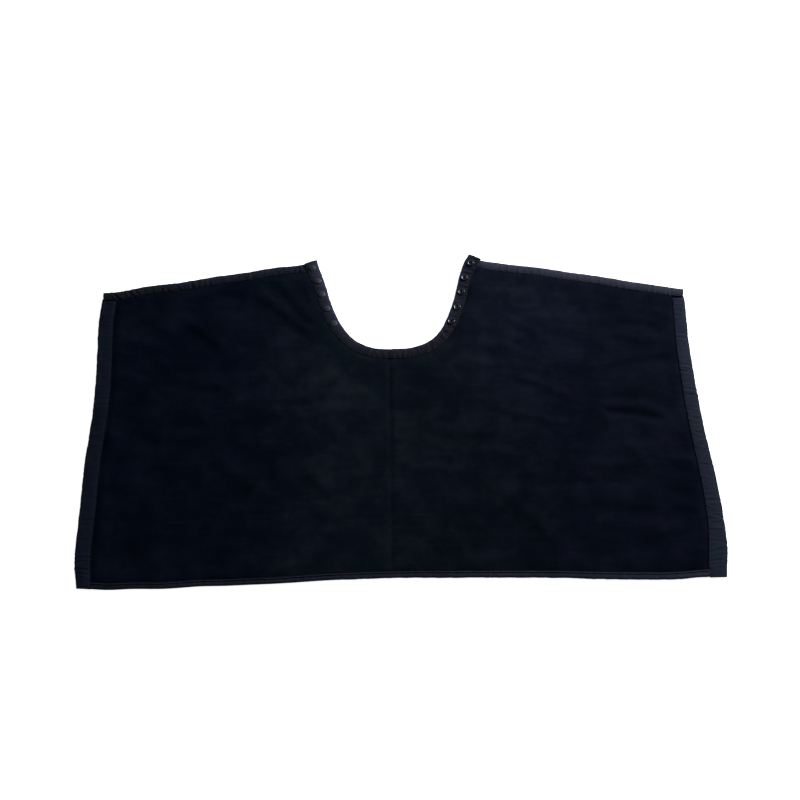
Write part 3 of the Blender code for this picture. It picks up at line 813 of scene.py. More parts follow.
def stitches(name, e, s0, s1, look, pitch=3.3 * MM):
    """The seam along the tape's inner edge: a row of stitches on its face and one underneath."""
    count = int((s1 - s0) / pitch)
    a = s0 + (np.arange(count) + 0.10) * pitch + 0.5 * (s1 - s0 - count * pitch)
    b = a + 0.84 * pitch
    co, faces, uv = [], [], []
    sides = 5
    cuts = ((0.0, 0.10, -0.34), (0.14, 0.24, -0.02), (0.5, 0.27, 0.08), (0.86, 0.24, -0.02), (1.0, 0.10, -0.34))
    wander = 0.16 * MM * noise2(a * 90, np.full(a.shape, 3.0), e.seed + 90)
    for under in (False, True):
        rings = []
        for t, r, up in cuts:
            s = a + (b - a) * t
            d = e.width(s) - 2.3 * MM + wander
            x, y = e.plan(s, d)
            if under:
                z = rise(x, y) + TAPE_LOW + 0.30 * MM - up * 0.25 * MM
            else:
                z = tape_top(e, s, d) + up * MM
            x, y = lay(x, y)
            rings.append((np.stack([x, y, z], axis=1), r * MM * (0.75 if under else 1)))
        start, end = rings[0][0], rings[-1][0]
        axis = end - start
        axis /= np.maximum(np.linalg.norm(axis, axis=1), 1e-9)[:, None]
        side = np.cross(axis, (0, 0, 1))
        side /= np.maximum(np.linalg.norm(side, axis=1), 1e-9)[:, None]
        up_v = np.cross(side, axis)
        base = len(co) and sum(len(c) for c in co)
        points = []
        for centre, r in rings:
            for k in range(sides):
                ang = 2 * math.pi * k / sides
                points.append(centre + r * (math.cos(ang) * side + math.sin(ang) * up_v * 0.8))
        points = np.stack(points, axis=1)
        m = len(rings) * sides
        co.append(points.reshape(-1, 3))
        tv = np.repeat([c[0] for c in cuts], sides)
        kv = np.tile(np.arange(sides) / sides, len(rings))
        uv.append(np.stack([(a[:, None] + 0.84 * pitch * tv[None, :]), np.broadcast_to(kv * 0.0015, (count, m))], axis=2).reshape(-1, 2))
        local = []
        for i in range(len(rings) - 1):
            for k in range(sides):
                k2 = (k + 1) % sides
                local.append((i * sides + k, i * sides + k2, (i + 1) * sides + k2, (i + 1) * sides + k))
        ends = [tuple(range(sides))[::-1], tuple(range(m - sides, m))]
        for q in range(count):
            off = base + q * m
            faces += [tuple(off + v for v in f) for f in local] + [tuple(off + v for v in f) for f in ends]
    ob = new_object(name, np.concatenate(co), faces, np.concatenate(uv))
    ob.data.materials.append(look)
    return ob


# ------------------------------------------------------------------ materials
class Look:
    """A Principled material with helpers for its nodes."""

    def __init__(self, name, roughness=0.8, metallic=0.0, specular=0.5, **plain):
        self.mat = bpy.data.materials.new(name)
        self.mat.use_nodes = True
        self.t = self.mat.node_tree
        self.shader = next(n for n in self.t.nodes if n.type == "BSDF_PRINCIPLED")
        put = self.shader.inputs
        put["Roughness"].default_value = roughness
        put["Metallic"].default_value = metallic
        put["Specular IOR Level"].default_value = specular
        for key, value in plain.items():
            put[key.replace("_", " ")].default_value = value
        self.uv = self.node("ShaderNodeUVMap", uv_map="cloth").outputs[0]

    def node(self, kind, inputs=None, **settings):
        n = self.t.nodes.new(kind)
        for k, v in settings.items():
            setattr(n, k, v)
        for k, v in (inputs or {}).items():
            if isinstance(v, bpy.types.NodeSocket):
                self.t.links.new(v, n.inputs[k])
            else:
                n.inputs[k].default_value = v
        return n

    def math(self, kind, a, b=0.0, c=0.0):
        return self.node("ShaderNodeMath", {0: a, 1: b, 2: c}, operation=kind).outputs[0]

    def noise(self, vector, scale, detail=2.0, rough=0.5, distort=0.0, stretch=None):
        if stretch:
            vector = self.node("ShaderNodeMapping", {"Vector": vector, "Scale": (*stretch, 1.0)}).outputs[0]
        n = self.node(
            "ShaderNodeTexNoise",
            {"Vector": vector, "Scale": scale, "Detail": detail, "Roughness": rough, "Distortion": distort},
        )
        return n.outputs[0]

    def level(self, value, a, b, low, high):
        return self.node(
            "ShaderNodeMapRange", {"Value": value, "From Min": a, "From Max": b, "To Min": low, "To Max": high}
        ).outputs[0]

    def colours(self, factor, *stops):
        n = self.node("ShaderNodeValToRGB", {"Fac": factor})
        ramp_ = n.color_ramp
        while len(ramp_.elements) < len(stops):
            ramp_.elements.new(0.5)
        for element, (at, colour) in zip(ramp_.elements, stops):
            element.position = at
            element.color = (*colour, 1.0)
        return n.outputs[0]

    def mix(self, factor, a, b, kind="MIX"):
        n = self.node("ShaderNodeMix", data_type="RGBA", blend_type=kind)
        for key, value in ((0, factor), (6, a), (7, b)):
            if isinstance(value, bpy.types.NodeSocket):
                self.t.links.new(value, n.inputs[key])
            else:
                n.inputs[key].default_value = value if key == 0 else (*value, 1.0)
        return n.outputs[2]

    def colour(self, socket):
        self.t.links.new(socket, self.shader.inputs["Base Color"])

    def rough(self, socket):
        self.t.links.new(socket, self.shader.inputs["Roughness"])

    def bumps(self, *heights):
        """(height, strength, distance in metres), finest last."""
        normal = None
        for height, strength, distance in heights:
            inputs = {"Height": height, "Strength": strength, "Distance": distance}
            if normal is not None:
                inputs["Normal"] = normal
            normal = self.node("ShaderNodeBump", inputs).outputs[0]
        self.t.links.new(normal, self.shader.inputs["Normal"])


def wave(look, value, pitch):
    """0 to 1 along value, one swing per pitch."""
    turned = look.math("MULTIPLY", value, 2 * math.pi / pitch)
    return look.math("MULTIPLY_ADD", look.math("SINE", turned), 0.5, 0.5)


def make_velour():
    k = Look("napped_velour", roughness=1.0, specular=0.012, Sheen_Weight=0.010, Sheen_Roughness=0.5)
    k.shader.inputs["Sheen Tint"].default_value = (0.40, 0.52, 0.80, 1.0)
    xyz = k.node("ShaderNodeSeparateXYZ", {0: k.uv})
    blotch = k.noise(k.uv, 24, 4, 0.50, 0.35)
    broad = k.noise(k.uv, 8, 3, 0.5, 0.3)
    streak = k.noise(k.uv, 1.0, 4, 0.6, 0.3, stretch=(13, 70))
    crush = k.noise(k.uv, 80, 3, 0.6, 0.5)
    pile = k.noise(k.uv, 900, 2, 0.6)
    fibre = k.noise(k.uv, 1.0, 2, 0.5, 0.0, stretch=(900, 2600))
    hue = k.noise(k.uv, 5.5, 3, 0.5, 1.0)
    nap = k.math("ADD", k.math("MULTIPLY", blotch, 0.44), k.math("MULTIPLY", streak, 0.14))
    nap = k.math("ADD", nap, k.math("MULTIPLY", broad, 0.30))
    nap = k.math("ADD", nap, k.math("MULTIPLY", crush, 0.12))
    tone = k.colours(
        nap,
        (0.37, (0.0010, 0.0022, 0.0056)),
        (0.47, (0.0015, 0.0032, 0.0073)),
        (0.55, (0.0027, 0.0047, 0.0097)),
        (0.66, (0.0044, 0.0069, 0.0130)),
    )
    # the velour's tone across the sheet: darker on the left, lightest near the middle, a little lighter on the right
    side_tone = k.colours(
        k.math("MULTIPLY_ADD", broad, 0.10, k.math("MULTIPLY_ADD", xyz.outputs[0], 1.0, 0.45)),
        (0.00, (0.80, 0.90, 1.00)),
        (0.24, (0.80, 0.90, 1.00)),
        (0.42, (2.10, 1.80, 1.42)),
        (0.56, (1.60, 1.35, 1.12)),
        (0.75, (1.10, 0.98, 0.98)),
        (1.00, (1.05, 0.92, 0.98)),
    )
    # painted light: the velour is made lighter in a patch right of the neck, where the lamp at the right lights the
    # cloth more
    place = k.node("ShaderNodeVectorMath", {0: k.uv, 1: (0.21, 0.165, 0.0)}, operation="DISTANCE").outputs["Value"]
    painted_light_patch = k.colours(
        k.math("MULTIPLY_ADD", blotch, 0.08, place), (0.07, (1.95, 1.55, 1.62)), (0.24, (1.0, 1.0, 1.0)), (0.60, (0.95, 0.96, 0.97))
    )
    side_tone = k.mix(1.0, side_tone, painted_light_patch, "MULTIPLY")
    tone = k.mix(1.0, tone, side_tone, "MULTIPLY")
    tint = k.colours(hue, (0.38, (0.88, 1.04, 1.00)), (0.50, (1.0, 1.0, 1.0)), (0.62, (1.11, 0.97, 1.06)))
    tone = k.mix(1.0, tone, tint, "MULTIPLY")
    speck = k.level(pile, 0.3, 0.7, 0.76, 1.24)
    grey = k.node("ShaderNodeCombineColor", {0: speck, 1: speck, 2: speck}).outputs[0]
    tone = k.mix(1.0, tone, grey, "MULTIPLY")
    k.colour(tone)
    k.rough(k.level(blotch, 0.3, 0.7, 0.90, 1.0))
    k.bumps((blotch, 0.42, 0.0044), (streak, 0.34, 0.0018), (crush, 0.14, 0.0011), (pile, 0.30, 0.0006), (fibre, 0.22, 0.0003))
    return k.mat


# the fourth argument sets how strongly the rolled edge is painted lighter, a painted light
def make_tape(name, painted_light_along=(), painted_light_across=(), roll_light_amount=0.30, cast=(1.0, 1.0, 1.0)):
    """Ribbed tape. The two tone lists give (metres along or across the tape, share of its
    own tone): painted light and shade, lighter or darker along the tape as the lamp lights it, darker at the inner edge
    as a painted shadow line where it meets the cover, and lighter on the rolled edge."""
    k = Look(name, roughness=0.72, specular=0.060, Sheen_Weight=0.03, Sheen_Roughness=0.35)
    k.shader.inputs["Sheen Tint"].default_value = (0.55, 0.62, 0.85, 1.0)
    k.shader.inputs["Specular Tint"].default_value = (0.82, 0.91, 1.0, 1.0)
    xyz = k.node("ShaderNodeSeparateXYZ", {0: k.uv})
    along, across = xyz.outputs[0], xyz.outputs[1]
    wobble = k.noise(k.uv, 160, 2)
    s = k.math("MULTIPLY_ADD", wobble, 0.00035, along)
    rib = wave(k, s, 0.00115)
    warp_yarn = wave(k, across, 0.00052)
    weave = k.math("MULTIPLY", rib, k.level(warp_yarn, 0, 1, 0.65, 1.0))
    broad = k.noise(k.uv, 38, 4, 0.6, 0.4)
    fade = k.noise(k.uv, 9, 3, 0.5)
    cross = k.noise(k.uv, 1.0, 3, 0.6, 0.2, stretch=(210, 22))
    mixed = k.math("ADD", k.math("MULTIPLY", weave, 0.26), k.math("MULTIPLY", broad, 0.30))
    mixed = k.math("ADD", mixed, k.math("MULTIPLY", fade, 0.20))
    mixed = k.math("ADD", mixed, k.math("MULTIPLY", cross, 0.24))
    tone = k.colours(
        mixed,
        (0.24, (0.0013, 0.0031, 0.0084)),
        (0.46, (0.0034, 0.0060, 0.0146)),
        (0.68, (0.0082, 0.0125, 0.0270)),
    )
    tint = k.colours(
        fade,
        (0.38, (0.88 * cast[0], 1.02 * cast[1], 0.96 * cast[2])),
        (0.62, (1.14 * cast[0], 0.98 * cast[1], 1.06 * cast[2])),
    )
    tone = k.mix(1.0, tone, tint, "MULTIPLY")
    # painted light and shade: the tape's tone is scaled up or down along it and across it
    for place, tones in ((along, painted_light_along), (across, painted_light_across)):
        if tones:
            first, last = tones[0][0], tones[-1][0]
            share = k.level(k.math("MULTIPLY_ADD", broad, 0.006, place), first, last, 0.0, 1.0)
            stops = [((at - first) / (last - first), (tone_ * 0.25,) * 3) for at, tone_ in tones]
            level = k.mix(1.0, k.colours(share, *stops), (4.0, 4.0, 4.0), "MULTIPLY")
            tone = k.mix(1.0, tone, level, "MULTIPLY")
    # painted light: along the rolled edge the tape is mixed in patches toward a paler blue, standing in for light on
    # the edge that faces away from the lamp
    roll_band = k.math("MULTIPLY", k.level(across, 0.012, 0.019, 0.0, 1.0), k.level(across, 0.030, 0.023, 0.0, 1.0))
    roll_light = k.math("MULTIPLY", roll_band, k.level(broad, 0.40, 0.65, 0.0, roll_light_amount))
    k.colour(k.mix(roll_light, tone, (0.016, 0.020, 0.033)))
    k.rough(k.level(broad, 0.3, 0.7, 0.62, 0.82))
    k.bumps((broad, 0.35, 0.0016), (cross, 0.55, 0.0011), (weave, 0.55, 0.00028))
    return k.mat


def make_lining():
    k = Look("plain_lining", roughness=0.7, specular=0.30, Sheen_Weight=0.05, Sheen_Roughness=0.4)
    xyz = k.node("ShaderNodeSeparateXYZ", {0: k.uv})
    slub = k.noise(k.uv, 1.0, 2, 0.5, 0, stretch=(30, 700))
    slub2 = k.noise(k.uv, 1.0, 2, 0.5, 0, stretch=(700, 30))
    a = wave(k, xyz.outputs[0], 0.00062)
    b = wave(k, xyz.outputs[1], 0.00062)
    weave = k.math("ABSOLUTE", k.math("SUBTRACT", a, b))
    broad = k.noise(k.uv, 12, 4, 0.55, 0.6)
    value = k.math("ADD", k.math("MULTIPLY", weave, 0.3), k.math("MULTIPLY", broad, 0.4))
    value = k.math("ADD", value, k.math("MULTIPLY", k.math("ADD", slub, slub2), 0.15))
    k.colour(
        k.colours(value, (0.25, (0.0070, 0.0090, 0.0150)), (0.5, (0.0115, 0.0145, 0.0235)), (0.7, (0.0175, 0.0215, 0.0330)))
    )
    k.rough(k.level(broad, 0.3, 0.7, 0.60, 0.80))
    crease = k.noise(k.uv, 1.0, 3, 0.6, 0.8, stretch=(18, 26))
    k.bumps((crease, 0.45, 0.0040), (slub, 0.25, 0.0004), (slub2, 0.25, 0.0004), (weave, 0.5, 0.00018))
    return k.mat


def make_vinyl():
    k = Look("leaded_vinyl", roughness=0.55, specular=0.40)
    broad = k.noise(k.uv, 18, 5, 0.6, 0.6)
    fine = k.noise(k.uv, 240, 3, 0.6)
    value = k.math("ADD", k.math("MULTIPLY", broad, 0.7), k.math("MULTIPLY", fine, 0.3))
    k.colour(k.colours(value, (0.35, (0.060, 0.064, 0.068)), (0.5, (0.085, 0.090, 0.095)), (0.68, (0.120, 0.125, 0.130))))
    k.rough(k.level(fine, 0.3, 0.7, 0.45, 0.68))
    k.bumps((broad, 0.3, 0.003), (fine, 0.4, 0.0003))
    return k.mat


def make_stay():
    k = Look("stiff_interlining", roughness=0.9, specular=0.2)
    fibre = k.noise(k.uv, 1.0, 4, 0.7, 2.0, stretch=(420, 300))
    broad = k.noise(k.uv, 60, 3)
    k.colour(k.colours(fibre, (0.3, (0.17, 0.17, 0.16)), (0.55, (0.25, 0.25, 0.24)), (0.75, (0.36, 0.36, 0.34))))
    k.rough(k.level(broad, 0.3, 0.7, 0.82, 0.96))
    k.bumps((fibre, 0.5, 0.0003))
    return k.mat


def make_thread():
    k = Look("sewing_thread", roughness=0.6, specular=0.12, Sheen_Weight=0.03, Sheen_Roughness=0.3)
    xyz = k.node("ShaderNodeSeparateXYZ", {0: k.uv})
    turned = k.math("ADD", xyz.outputs[0], xyz.outputs[1])
    ply = wave(k, turned, 0.00042)
    broad = k.noise(k.uv, 70, 2)
    value = k.math("ADD", k.math("MULTIPLY", ply, 0.6), k.math("MULTIPLY", broad, 0.4))
    k.colour(k.colours(value, (0.2, (0.0022, 0.0032, 0.0068)), (0.5, (0.0050, 0.0068, 0.0126)), (0.8, (0.0110, 0.0138, 0.0230))))
    k.rough(k.level(ply, 0, 1, 0.62, 0.45))
    k.bumps((ply, 0.5, 0.0001))
    return k.mat


def make_gunmetal():
    k = Look("gunmetal_plate", roughness=0.3, metallic=1.0)
    at = k.node("ShaderNodeTexCoord").outputs["Object"]
    cloud = k.noise(at, 420, 4, 0.6, 0.8)
    scratch = k.noise(at, 1.0, 3, 0.6, 0.4, stretch=(3000, 260))
    v = k.node("ShaderNodeSeparateXYZ", {0: k.uv}).outputs[1]
    rim = k.math("MULTIPLY", k.level(v, 0.52, 0.60, 0.0, 1.0), k.level(v, 0.80, 0.70, 0.0, 1.0))
    worn = k.math("MULTIPLY", rim, k.level(cloud, 0.40, 0.62, 0.15, 0.85))
    base = k.colours(cloud, (0.3, (0.013, 0.015, 0.020)), (0.55, (0.026, 0.029, 0.037)), (0.75, (0.048, 0.052, 0.064)))
    k.colour(k.mix(worn, base, (0.125, 0.135, 0.155)))
    k.rough(k.level(scratch, 0.3, 0.7, 0.26, 0.44))
    k.bumps((scratch, 0.15, 0.00004), (cloud, 0.12, 0.00006))
    return k.mat


def make_enamel():
    k = Look("dark_enamel", roughness=0.55, metallic=0.0, specular=0.24)
    k.shader.inputs["Specular Tint"].default_value = (0.74, 0.85, 1.0, 1.0)
    at = k.node("ShaderNodeTexCoord").outputs["Object"]
    dust = k.noise(at, 900, 3, 0.6)
    cloud = k.noise(at, 260, 3, 0.6, 0.5)
    v = k.node("ShaderNodeSeparateXYZ", {0: k.uv}).outputs[1]
    rim = k.math("MULTIPLY", k.level(v, 0.55, 0.68, 0.0, 1.0), k.level(dust, 0.45, 0.62, 0.0, 0.4))
    base = k.colours(cloud, (0.3, (0.0070, 0.0090, 0.0150)), (0.55, (0.0125, 0.0155, 0.0240)), (0.75, (0.0210, 0.0250, 0.0360)))
    k.colour(k.mix(rim, base, (0.05, 0.054, 0.062)))
    k.rough(k.level(dust, 0.3, 0.7, 0.50, 0.64))
    k.bumps((cloud, 0.15, 0.0001), (dust, 0.10, 0.00004))
    return k.mat


VELOUR, LINING, VINYL = make_velour(), make_lining(), make_vinyl()
# painted light and shade for the tapes: darker along each tape's inner edge, a painted shadow line where it meets the
# cover, and lighter on its rolled edge; the tones along each tape are painted light too, lighter or darker as the lamp
# lights each stretch
EDGE_SHADE_ROLL_LIGHT = ((0.0, 0.26), (0.005, 0.48), (0.011, 0.90), (0.016, 1.15), (0.0215, 2.0))
TAPES = {
    "side_right": make_tape("side_tape_ribs", ((0.0, 1.25), (0.18, 1.0), (0.54, 1.15)), cast=(1.0, 1.02, 1.06)),
    "side_left": make_tape("side_tape_ribs_left", ((0.0, 0.95), (0.20, 0.90), (0.54, 1.05)), ((0.0, 0.55), (0.0022, 0.70), (0.005, 1.0))),
    "hem": make_tape("hem_tape_ribs", ((0.0, 1.4), (0.5, 1.8), (0.98, 2.1)), ((0.0, 0.30), (0.0035, 0.62), (0.007, 1.0), (0.012, 1.35)), cast=(1.35, 1.02, 0.78)),
    "shoulder_right": make_tape(
        "shoulder_tape_ribs", ((0.0, 2.1), (0.12, 1.8), (0.36, 2.3)), ((0.0, 0.45), (0.004, 0.70), (0.012, 1.15), (0.0215, 1.8)), 0.45,
        (1.52, 1.03, 0.82),
    ),
    "shoulder_left": make_tape("shoulder_tape_ribs_left", ((0.0, 1.45), (0.15, 1.10), (0.36, 0.85)), EDGE_SHADE_ROLL_LIGHT, 0.5, (1.30, 1.0, 0.84)),
    "neck": make_tape(
        "neck_tape_ribs",
        ((0.0, 1.5), (0.13, 1.35), (0.18, 0.85), (NECK.length / 2, 0.80), (NECK.length - 0.19, 0.85), (NECK.length - 0.12, 1.5), (NECK.length, 2.0)),
        EDGE_SHADE_ROLL_LIGHT, 0.45, (1.40, 0.99, 0.84),
    ),
}  # fmt: skip
STAY, THREAD, GUNMETAL, ENAMEL = make_stay(), make_thread(), make_gunmetal(), make_enamel()

# ------------------------------------------------------------------ the layers
grid = plan_grid(3.5 * MM, 1.4 * MM, 2.2 * MM, -0.009)
px, py, gap, which, arc, quads = grid
top = cover_top(px, py, gap, which, arc)
covers = layer("outer_cover", grid, top, top - 0.8 * MM, VELOUR, "cover_cloth", "cover_")

grid = plan_grid(7.0 * MM, 2.0 * MM, 3.6 * MM, -0.009)
px, py, gap, which, arc, quads = grid
low = lining_low(px, py, gap)
linings = layer("lining", grid, low + 0.5 * MM, low, LINING, "lining_cloth", "lining_")

plies = []
grid = plan_grid(12.0 * MM, 3.0 * MM, 5.2 * MM, 0.001)
px, py, gap, which, arc, quads = grid
base = rise(px, py) + 0.22 * field(px, py) * ramp(0.0, 0.02, gap)
plies += layer("inner_vinyl_ply", grid, base + 2.05 * MM, base + 1.20 * MM, VINYL, "lead_vinyl", "lead_vinyl_inner_")
plies += layer("outer_vinyl_ply", grid, base + 3.20 * MM, base + 2.35 * MM, VINYL, "lead_vinyl", "lead_vinyl_outer_")

# ------------------------------------------------------------------ tapes and seams
seams = {}
tapes = {}


def bound(name, edge, s0, s1, ride=None, part=None, nodes=(), tuck0=0.0, tuck1=0.0, step=1.3 * MM):
    e = EDGES[edge]
    tape = tape_mesh(name, e, s0, s1, TAPES[edge], step=step, tuck0=tuck0, tuck1=tuck1)
    row = stitches(name.replace("_binding", "_seam"), e, s0 + (0.004 if tuck0 else 0.001), s1 - (0.004 if tuck1 else 0.001), THREAD)
    for ob in (tape, row):
        if ride:
            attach(ob, ride)
        elif part:
            bend(ob, part)
        else:
            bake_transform(ob)
    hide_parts(*nodes)
    tapes[name], seams[name] = tape, row


bound("hem_binding_left", "hem", 0.0246 - 0.005, SIDE_X - SEAM_X, part="left", nodes=["hem_tape_left_wing"], tuck0=0.75 * MM)
bound("hem_binding_middle", "hem", SIDE_X - SEAM_X, SIDE_X + SEAM_X, part="middle", nodes=["hem_tape_left_front", "hem_tape_right_front"])
bound("hem_binding_right", "hem", SIDE_X + SEAM_X, 2 * SIDE_X - 0.0258 + 0.005, part="right", nodes=["hem_tape_right_wing"], tuck1=0.75 * MM)
bound("side_binding_right", "side_right", -0.0006, 0.5250, ride="right_wing", nodes=["side_tape_right"], tuck1=2.0 * MM)
bound("side_binding_left", "side_left", 0.0130, 0.5406, ride="left_wing", nodes=["side_tape_left"], tuck0=1.4 * MM)
shoulder = EDGES["shoulder_right"].length
bound(
    "shoulder_binding_right", "shoulder_right", -0.0004, shoulder - 0.0162,
    nodes=["shoulder_tape_right_front", "shoulder_tape_right_wing"], tuck1=0.75 * MM,
)  # fmt: skip
bound(
    "shoulder_binding_left", "shoulder_left", 0.0162, shoulder + 0.0004,
    nodes=["shoulder_tape_left_front", "shoulder_tape_left_wing"], tuck0=0.75 * MM,
)  # fmt: skip
bound(
    "neck_binding", "neck", -0.0030, NECK.length + 0.0015, part="middle", nodes=["neck_tape_left", "neck_tape_right"],
    step=1.2 * MM,
)  # fmt: skip


# ------------------------------------------------------------------ stay behind the press studs
def stay(name, s0, s1, body, node):
    n, rows = 60, 7
    s = np.linspace(s0, s1, n + 1)
    d = np.linspace(2.6 * MM, 18.6 * MM, rows)
    ss, dd = np.meshgrid(s, d, indexing="ij")
    x, y = NECK.plan(ss, dd)
    z = rise(x, y) + 2.1 * MM + 1.0 * MM * ramp(0, 0.010, dd)
    X, Y = lay(x, y)
    upper = np.stack([X, Y, z + 0.35 * MM], axis=2).reshape(-1, 3)
    lower = np.stack([X, Y, z - 0.35 * MM], axis=2).reshape(-1, 3)
    size = len(upper)
    faces = []
    for i in range(n):
        for j in range(rows - 1):
            a, b, c, e = i * rows + j, (i + 1) * rows + j, (i + 1) * rows + j + 1, i * rows + j + 1
            faces += [(a, b, c, e), (e + size, c + size, b + size, a + size)]
    rim = [(i * rows, (i + 1) * rows) for i in range(n)]
    rim += [(n * rows + j, n * rows + j + 1) for j in range(rows - 1)]
    rim += [((i + 1) * rows + rows - 1, i * rows + rows - 1) for i in range(n)]
    rim += [(j + 1, j) for j in range(rows - 1)]
    faces += [(b, a, a + size, b + size) for a, b in rim]
    uv = np.stack([ss, dd], axis=2).reshape(-1, 2)
    ob = new_object(name, np.concatenate([upper, lower]), faces, np.concatenate([uv, uv]), smooth=False)
    ob.data.materials.append(STAY)
    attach(ob, body)
    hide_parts(node)


stay("stay_right", 0.0035, STUDS_RIGHT[-1] + 0.012, "right_front", "neck_stay_right")
stay("stay_left", STUDS_LEFT[-1] - 0.012, NECK.length - 0.0035, "left_front", "neck_stay_left")


# ------------------------------------------------------------------ press studs
def turned(name, profile, look, slot, segments=48, closed=False):
    """A turned piece: profile points (radius, height) in mm. UV: turn, share of the profile."""
    pts = np.array(profile, float) * MM
    n = len(pts)
    ang = 2 * np.pi * np.arange(segments) / segments
    on_axis = pts[:, 0] < 1e-9
    co, faces, uv, start = [], [], [], []
    for i, (r, z) in enumerate(pts):
        start.append(len(co))
        if on_axis[i]:
            co.append((0, 0, z))
            uv.append((0.5, i / (n - 1)))
        else:
            for k, a in enumerate(ang):
                co.append((r * math.cos(a), r * math.sin(a), z))
                uv.append((k / segments, i / (n - 1)))
    last = n if closed else n - 1
    for i in range(last):
        a, b = i, (i + 1) % n
        for k in range(segments):
            k2 = (k + 1) % segments
            if on_axis[a] and on_axis[b]:
                continue
            if on_axis[a]:
                faces.append((start[a], start[b] + k, start[b] + k2))
            elif on_axis[b]:
                faces.append((start[a] + k, start[b], start[a] + k2))
            else:
                faces.append((start[a] + k, start[b] + k, start[b] + k2, start[a] + k2))
    ob = new_object(name, np.array(co), faces, np.array(uv))
    ob.data.set_sharp_from_angle(angle=math.radians(38))
    ob.data.materials.append(look)
    return ob


def arc_points(cx, cz, r, a0, a1, n):
    return [(cx + r * math.cos(math.radians(a0 + (a1 - a0) * i / n)), cz + r * math.sin(math.radians(a0 + (a1 - a0) * i / n))) for i in range(n + 1)]


SOCKET = (
    [(0.0, 0.45), (1.2, 0.45), (1.75, 0.55)]
    + [(1.95, 0.75), (2.0, 1.25)]
    + arc_points(2.38, 1.35, 0.38, 180, 60, 6)
    + [(2.9, 1.48), (3.5, 1.38), (4.05, 1.40)]
    + [(4.35, 1.55), (4.65, 1.80), (5.0, 1.93), (5.3, 1.90), (5.58, 1.72), (5.75, 1.40), (5.80, 1.0), (5.76, 0.5), (5.6, 0.12), (5.3, 0.0), (0.0, 0.0)]
)
RING = (
    [(2.8, 0.0), (2.8, 3.2), (3.1, 3.35), (3.4, 3.2), (3.4, 0.95)]
    + [(4.6, 0.92), (5.2, 0.82), (5.45, 0.55), (5.45, 0.30), (5.25, 0.08), (4.8, 0.0), (4.2, 0.06), (3.4, 0.16)]
)
CAP = (
    [(0.0, 2.00), (0.8, 1.985), (1.6, 1.94), (2.4, 1.86), (3.2, 1.74), (4.0, 1.56), (4.7, 1.32), (5.3, 1.02)]
    + arc_points(5.55, 0.50, 0.62, 62, -75, 8)
    + [(5.3, -0.10), (1.5, -0.10), (1.5, -3.4), (0.0, -3.4)]
)
STUD = (
    [(0.0, 0.95), (3.6, 0.95), (4.9, 0.86), (5.3, 0.68), (5.42, 0.42), (5.25, 0.18), (4.8, 0.08), (3.6, 0.12), (2.4, 0.06)]
    + [(1.75, -0.10), (1.70, -0.22), (1.88, -0.42), (1.95, -0.62), (1.82, -0.84), (1.45, -0.98), (0.9, -1.0), (0.7, -0.86), (0.0, -0.84)]
)


def seat(s, turn, tilt_x, tilt_y, extra=0.0):
    """Matrix that sets a press stud on the neck tape at arc length s."""
    d = STUD_SETBACK
    h = 3.0 * MM

    def spot(s_, d_):
        s_, d_ = np.array([s_]), np.array([d_])
        e = NECK
        x, y = e.plan(s_, d_)
        w = e.width(s_)
        roll = (EDGE_TOP - TAPE_LOW) / 2
        u = np.clip((d_ - roll) / (w - roll), 0, 1)
        z = EDGE_TOP + (TAPE_TOP - EDGE_TOP) * (1 - (1 - u) ** 2) ** 0.85 + rise(x, y)
        X, Y = lay(x, y)
        return np.array([X[0], Y[0], z[0]])

    p = spot(s, d)
    a, b = spot(s + h, d) - spot(s - h, d), spot(s, d + h) - spot(s, d - h)
    n = np.cross(a, b)
    n /= np.linalg.norm(n)
    n = n * (1 if n[2] > 0 else -1)
    n = n + np.array([tilt_x, tilt_y, 0.0])
    n /= np.linalg.norm(n)
    q = Vector(n).to_track_quat("Z", "Y")
    m = Matrix.Translation(Vector(p + n * extra)) @ q.to_matrix().to_4x4() @ Matrix.Rotation(turn, 4, "Z")
    return m


def spring(ob):
    """Adds the two wires of the catch spring across a socket's well."""
    import bmesh

    work = bmesh.new()
    work.from_mesh(ob.data)
    for side in (-1, 1):
        made = bmesh.ops.create_cone(work, cap_ends=True, segments=10, radius1=0.17 * MM, radius2=0.17 * MM, depth=3.7 * MM)
        m = Matrix.Translation((side * 1.15 * MM, 0, 1.02 * MM)) @ Matrix.Rotation(math.radians(90), 4, "X")
        bmesh.ops.transform(work, verts=made["verts"], matrix=m)
        for f in {f for v in made["verts"] for f in v.link_faces}:
            f.smooth = len(f.verts) == 4
    work.to_mesh(ob.data)
    work.free()


tilts = np.random.default_rng(5).uniform(-0.055, 0.055, (10, 2))
turns = np.random.default_rng(6).uniform(0, 2 * math.pi, 10)
for i in range(5):
    socket = turned(f"press_stud_socket_{i + 1}", SOCKET, GUNMETAL, "snap_steel")
    spring(socket)
    m = seat(STUDS_RIGHT[i], turns[i], *tilts[i], extra=-0.12 * MM)
    socket.matrix_world = m
    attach(socket, "right_front")
    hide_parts(f"socket_{i + 1}")
    ring = turned(f"press_stud_ring_{i + 1}", RING, GUNMETAL, "snap_steel", closed=True)
    ring.matrix_world = m @ Matrix.Translation((0, 0, -3.95 * MM))
    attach(ring, "right_front")
    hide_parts(f"socket_ring_{i + 1}")
    cap = turned(f"press_stud_cap_{i + 1}", CAP, ENAMEL, "snap_enamel")
    m = seat(STUDS_LEFT[i], turns[5 + i], *tilts[5 + i], extra=-0.10 * MM)
    cap.matrix_world = m
    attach(cap, "left_front")
    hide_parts(f"snap_cap_{i + 1}")
    stud = turned(f"press_stud_post_{i + 1}", STUD, GUNMETAL, "snap_steel")
    stud.matrix_world = m @ Matrix.Translation((0, 0, -3.70 * MM))
    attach(stud, "left_front")
    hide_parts(f"snap_stud_{i + 1}")


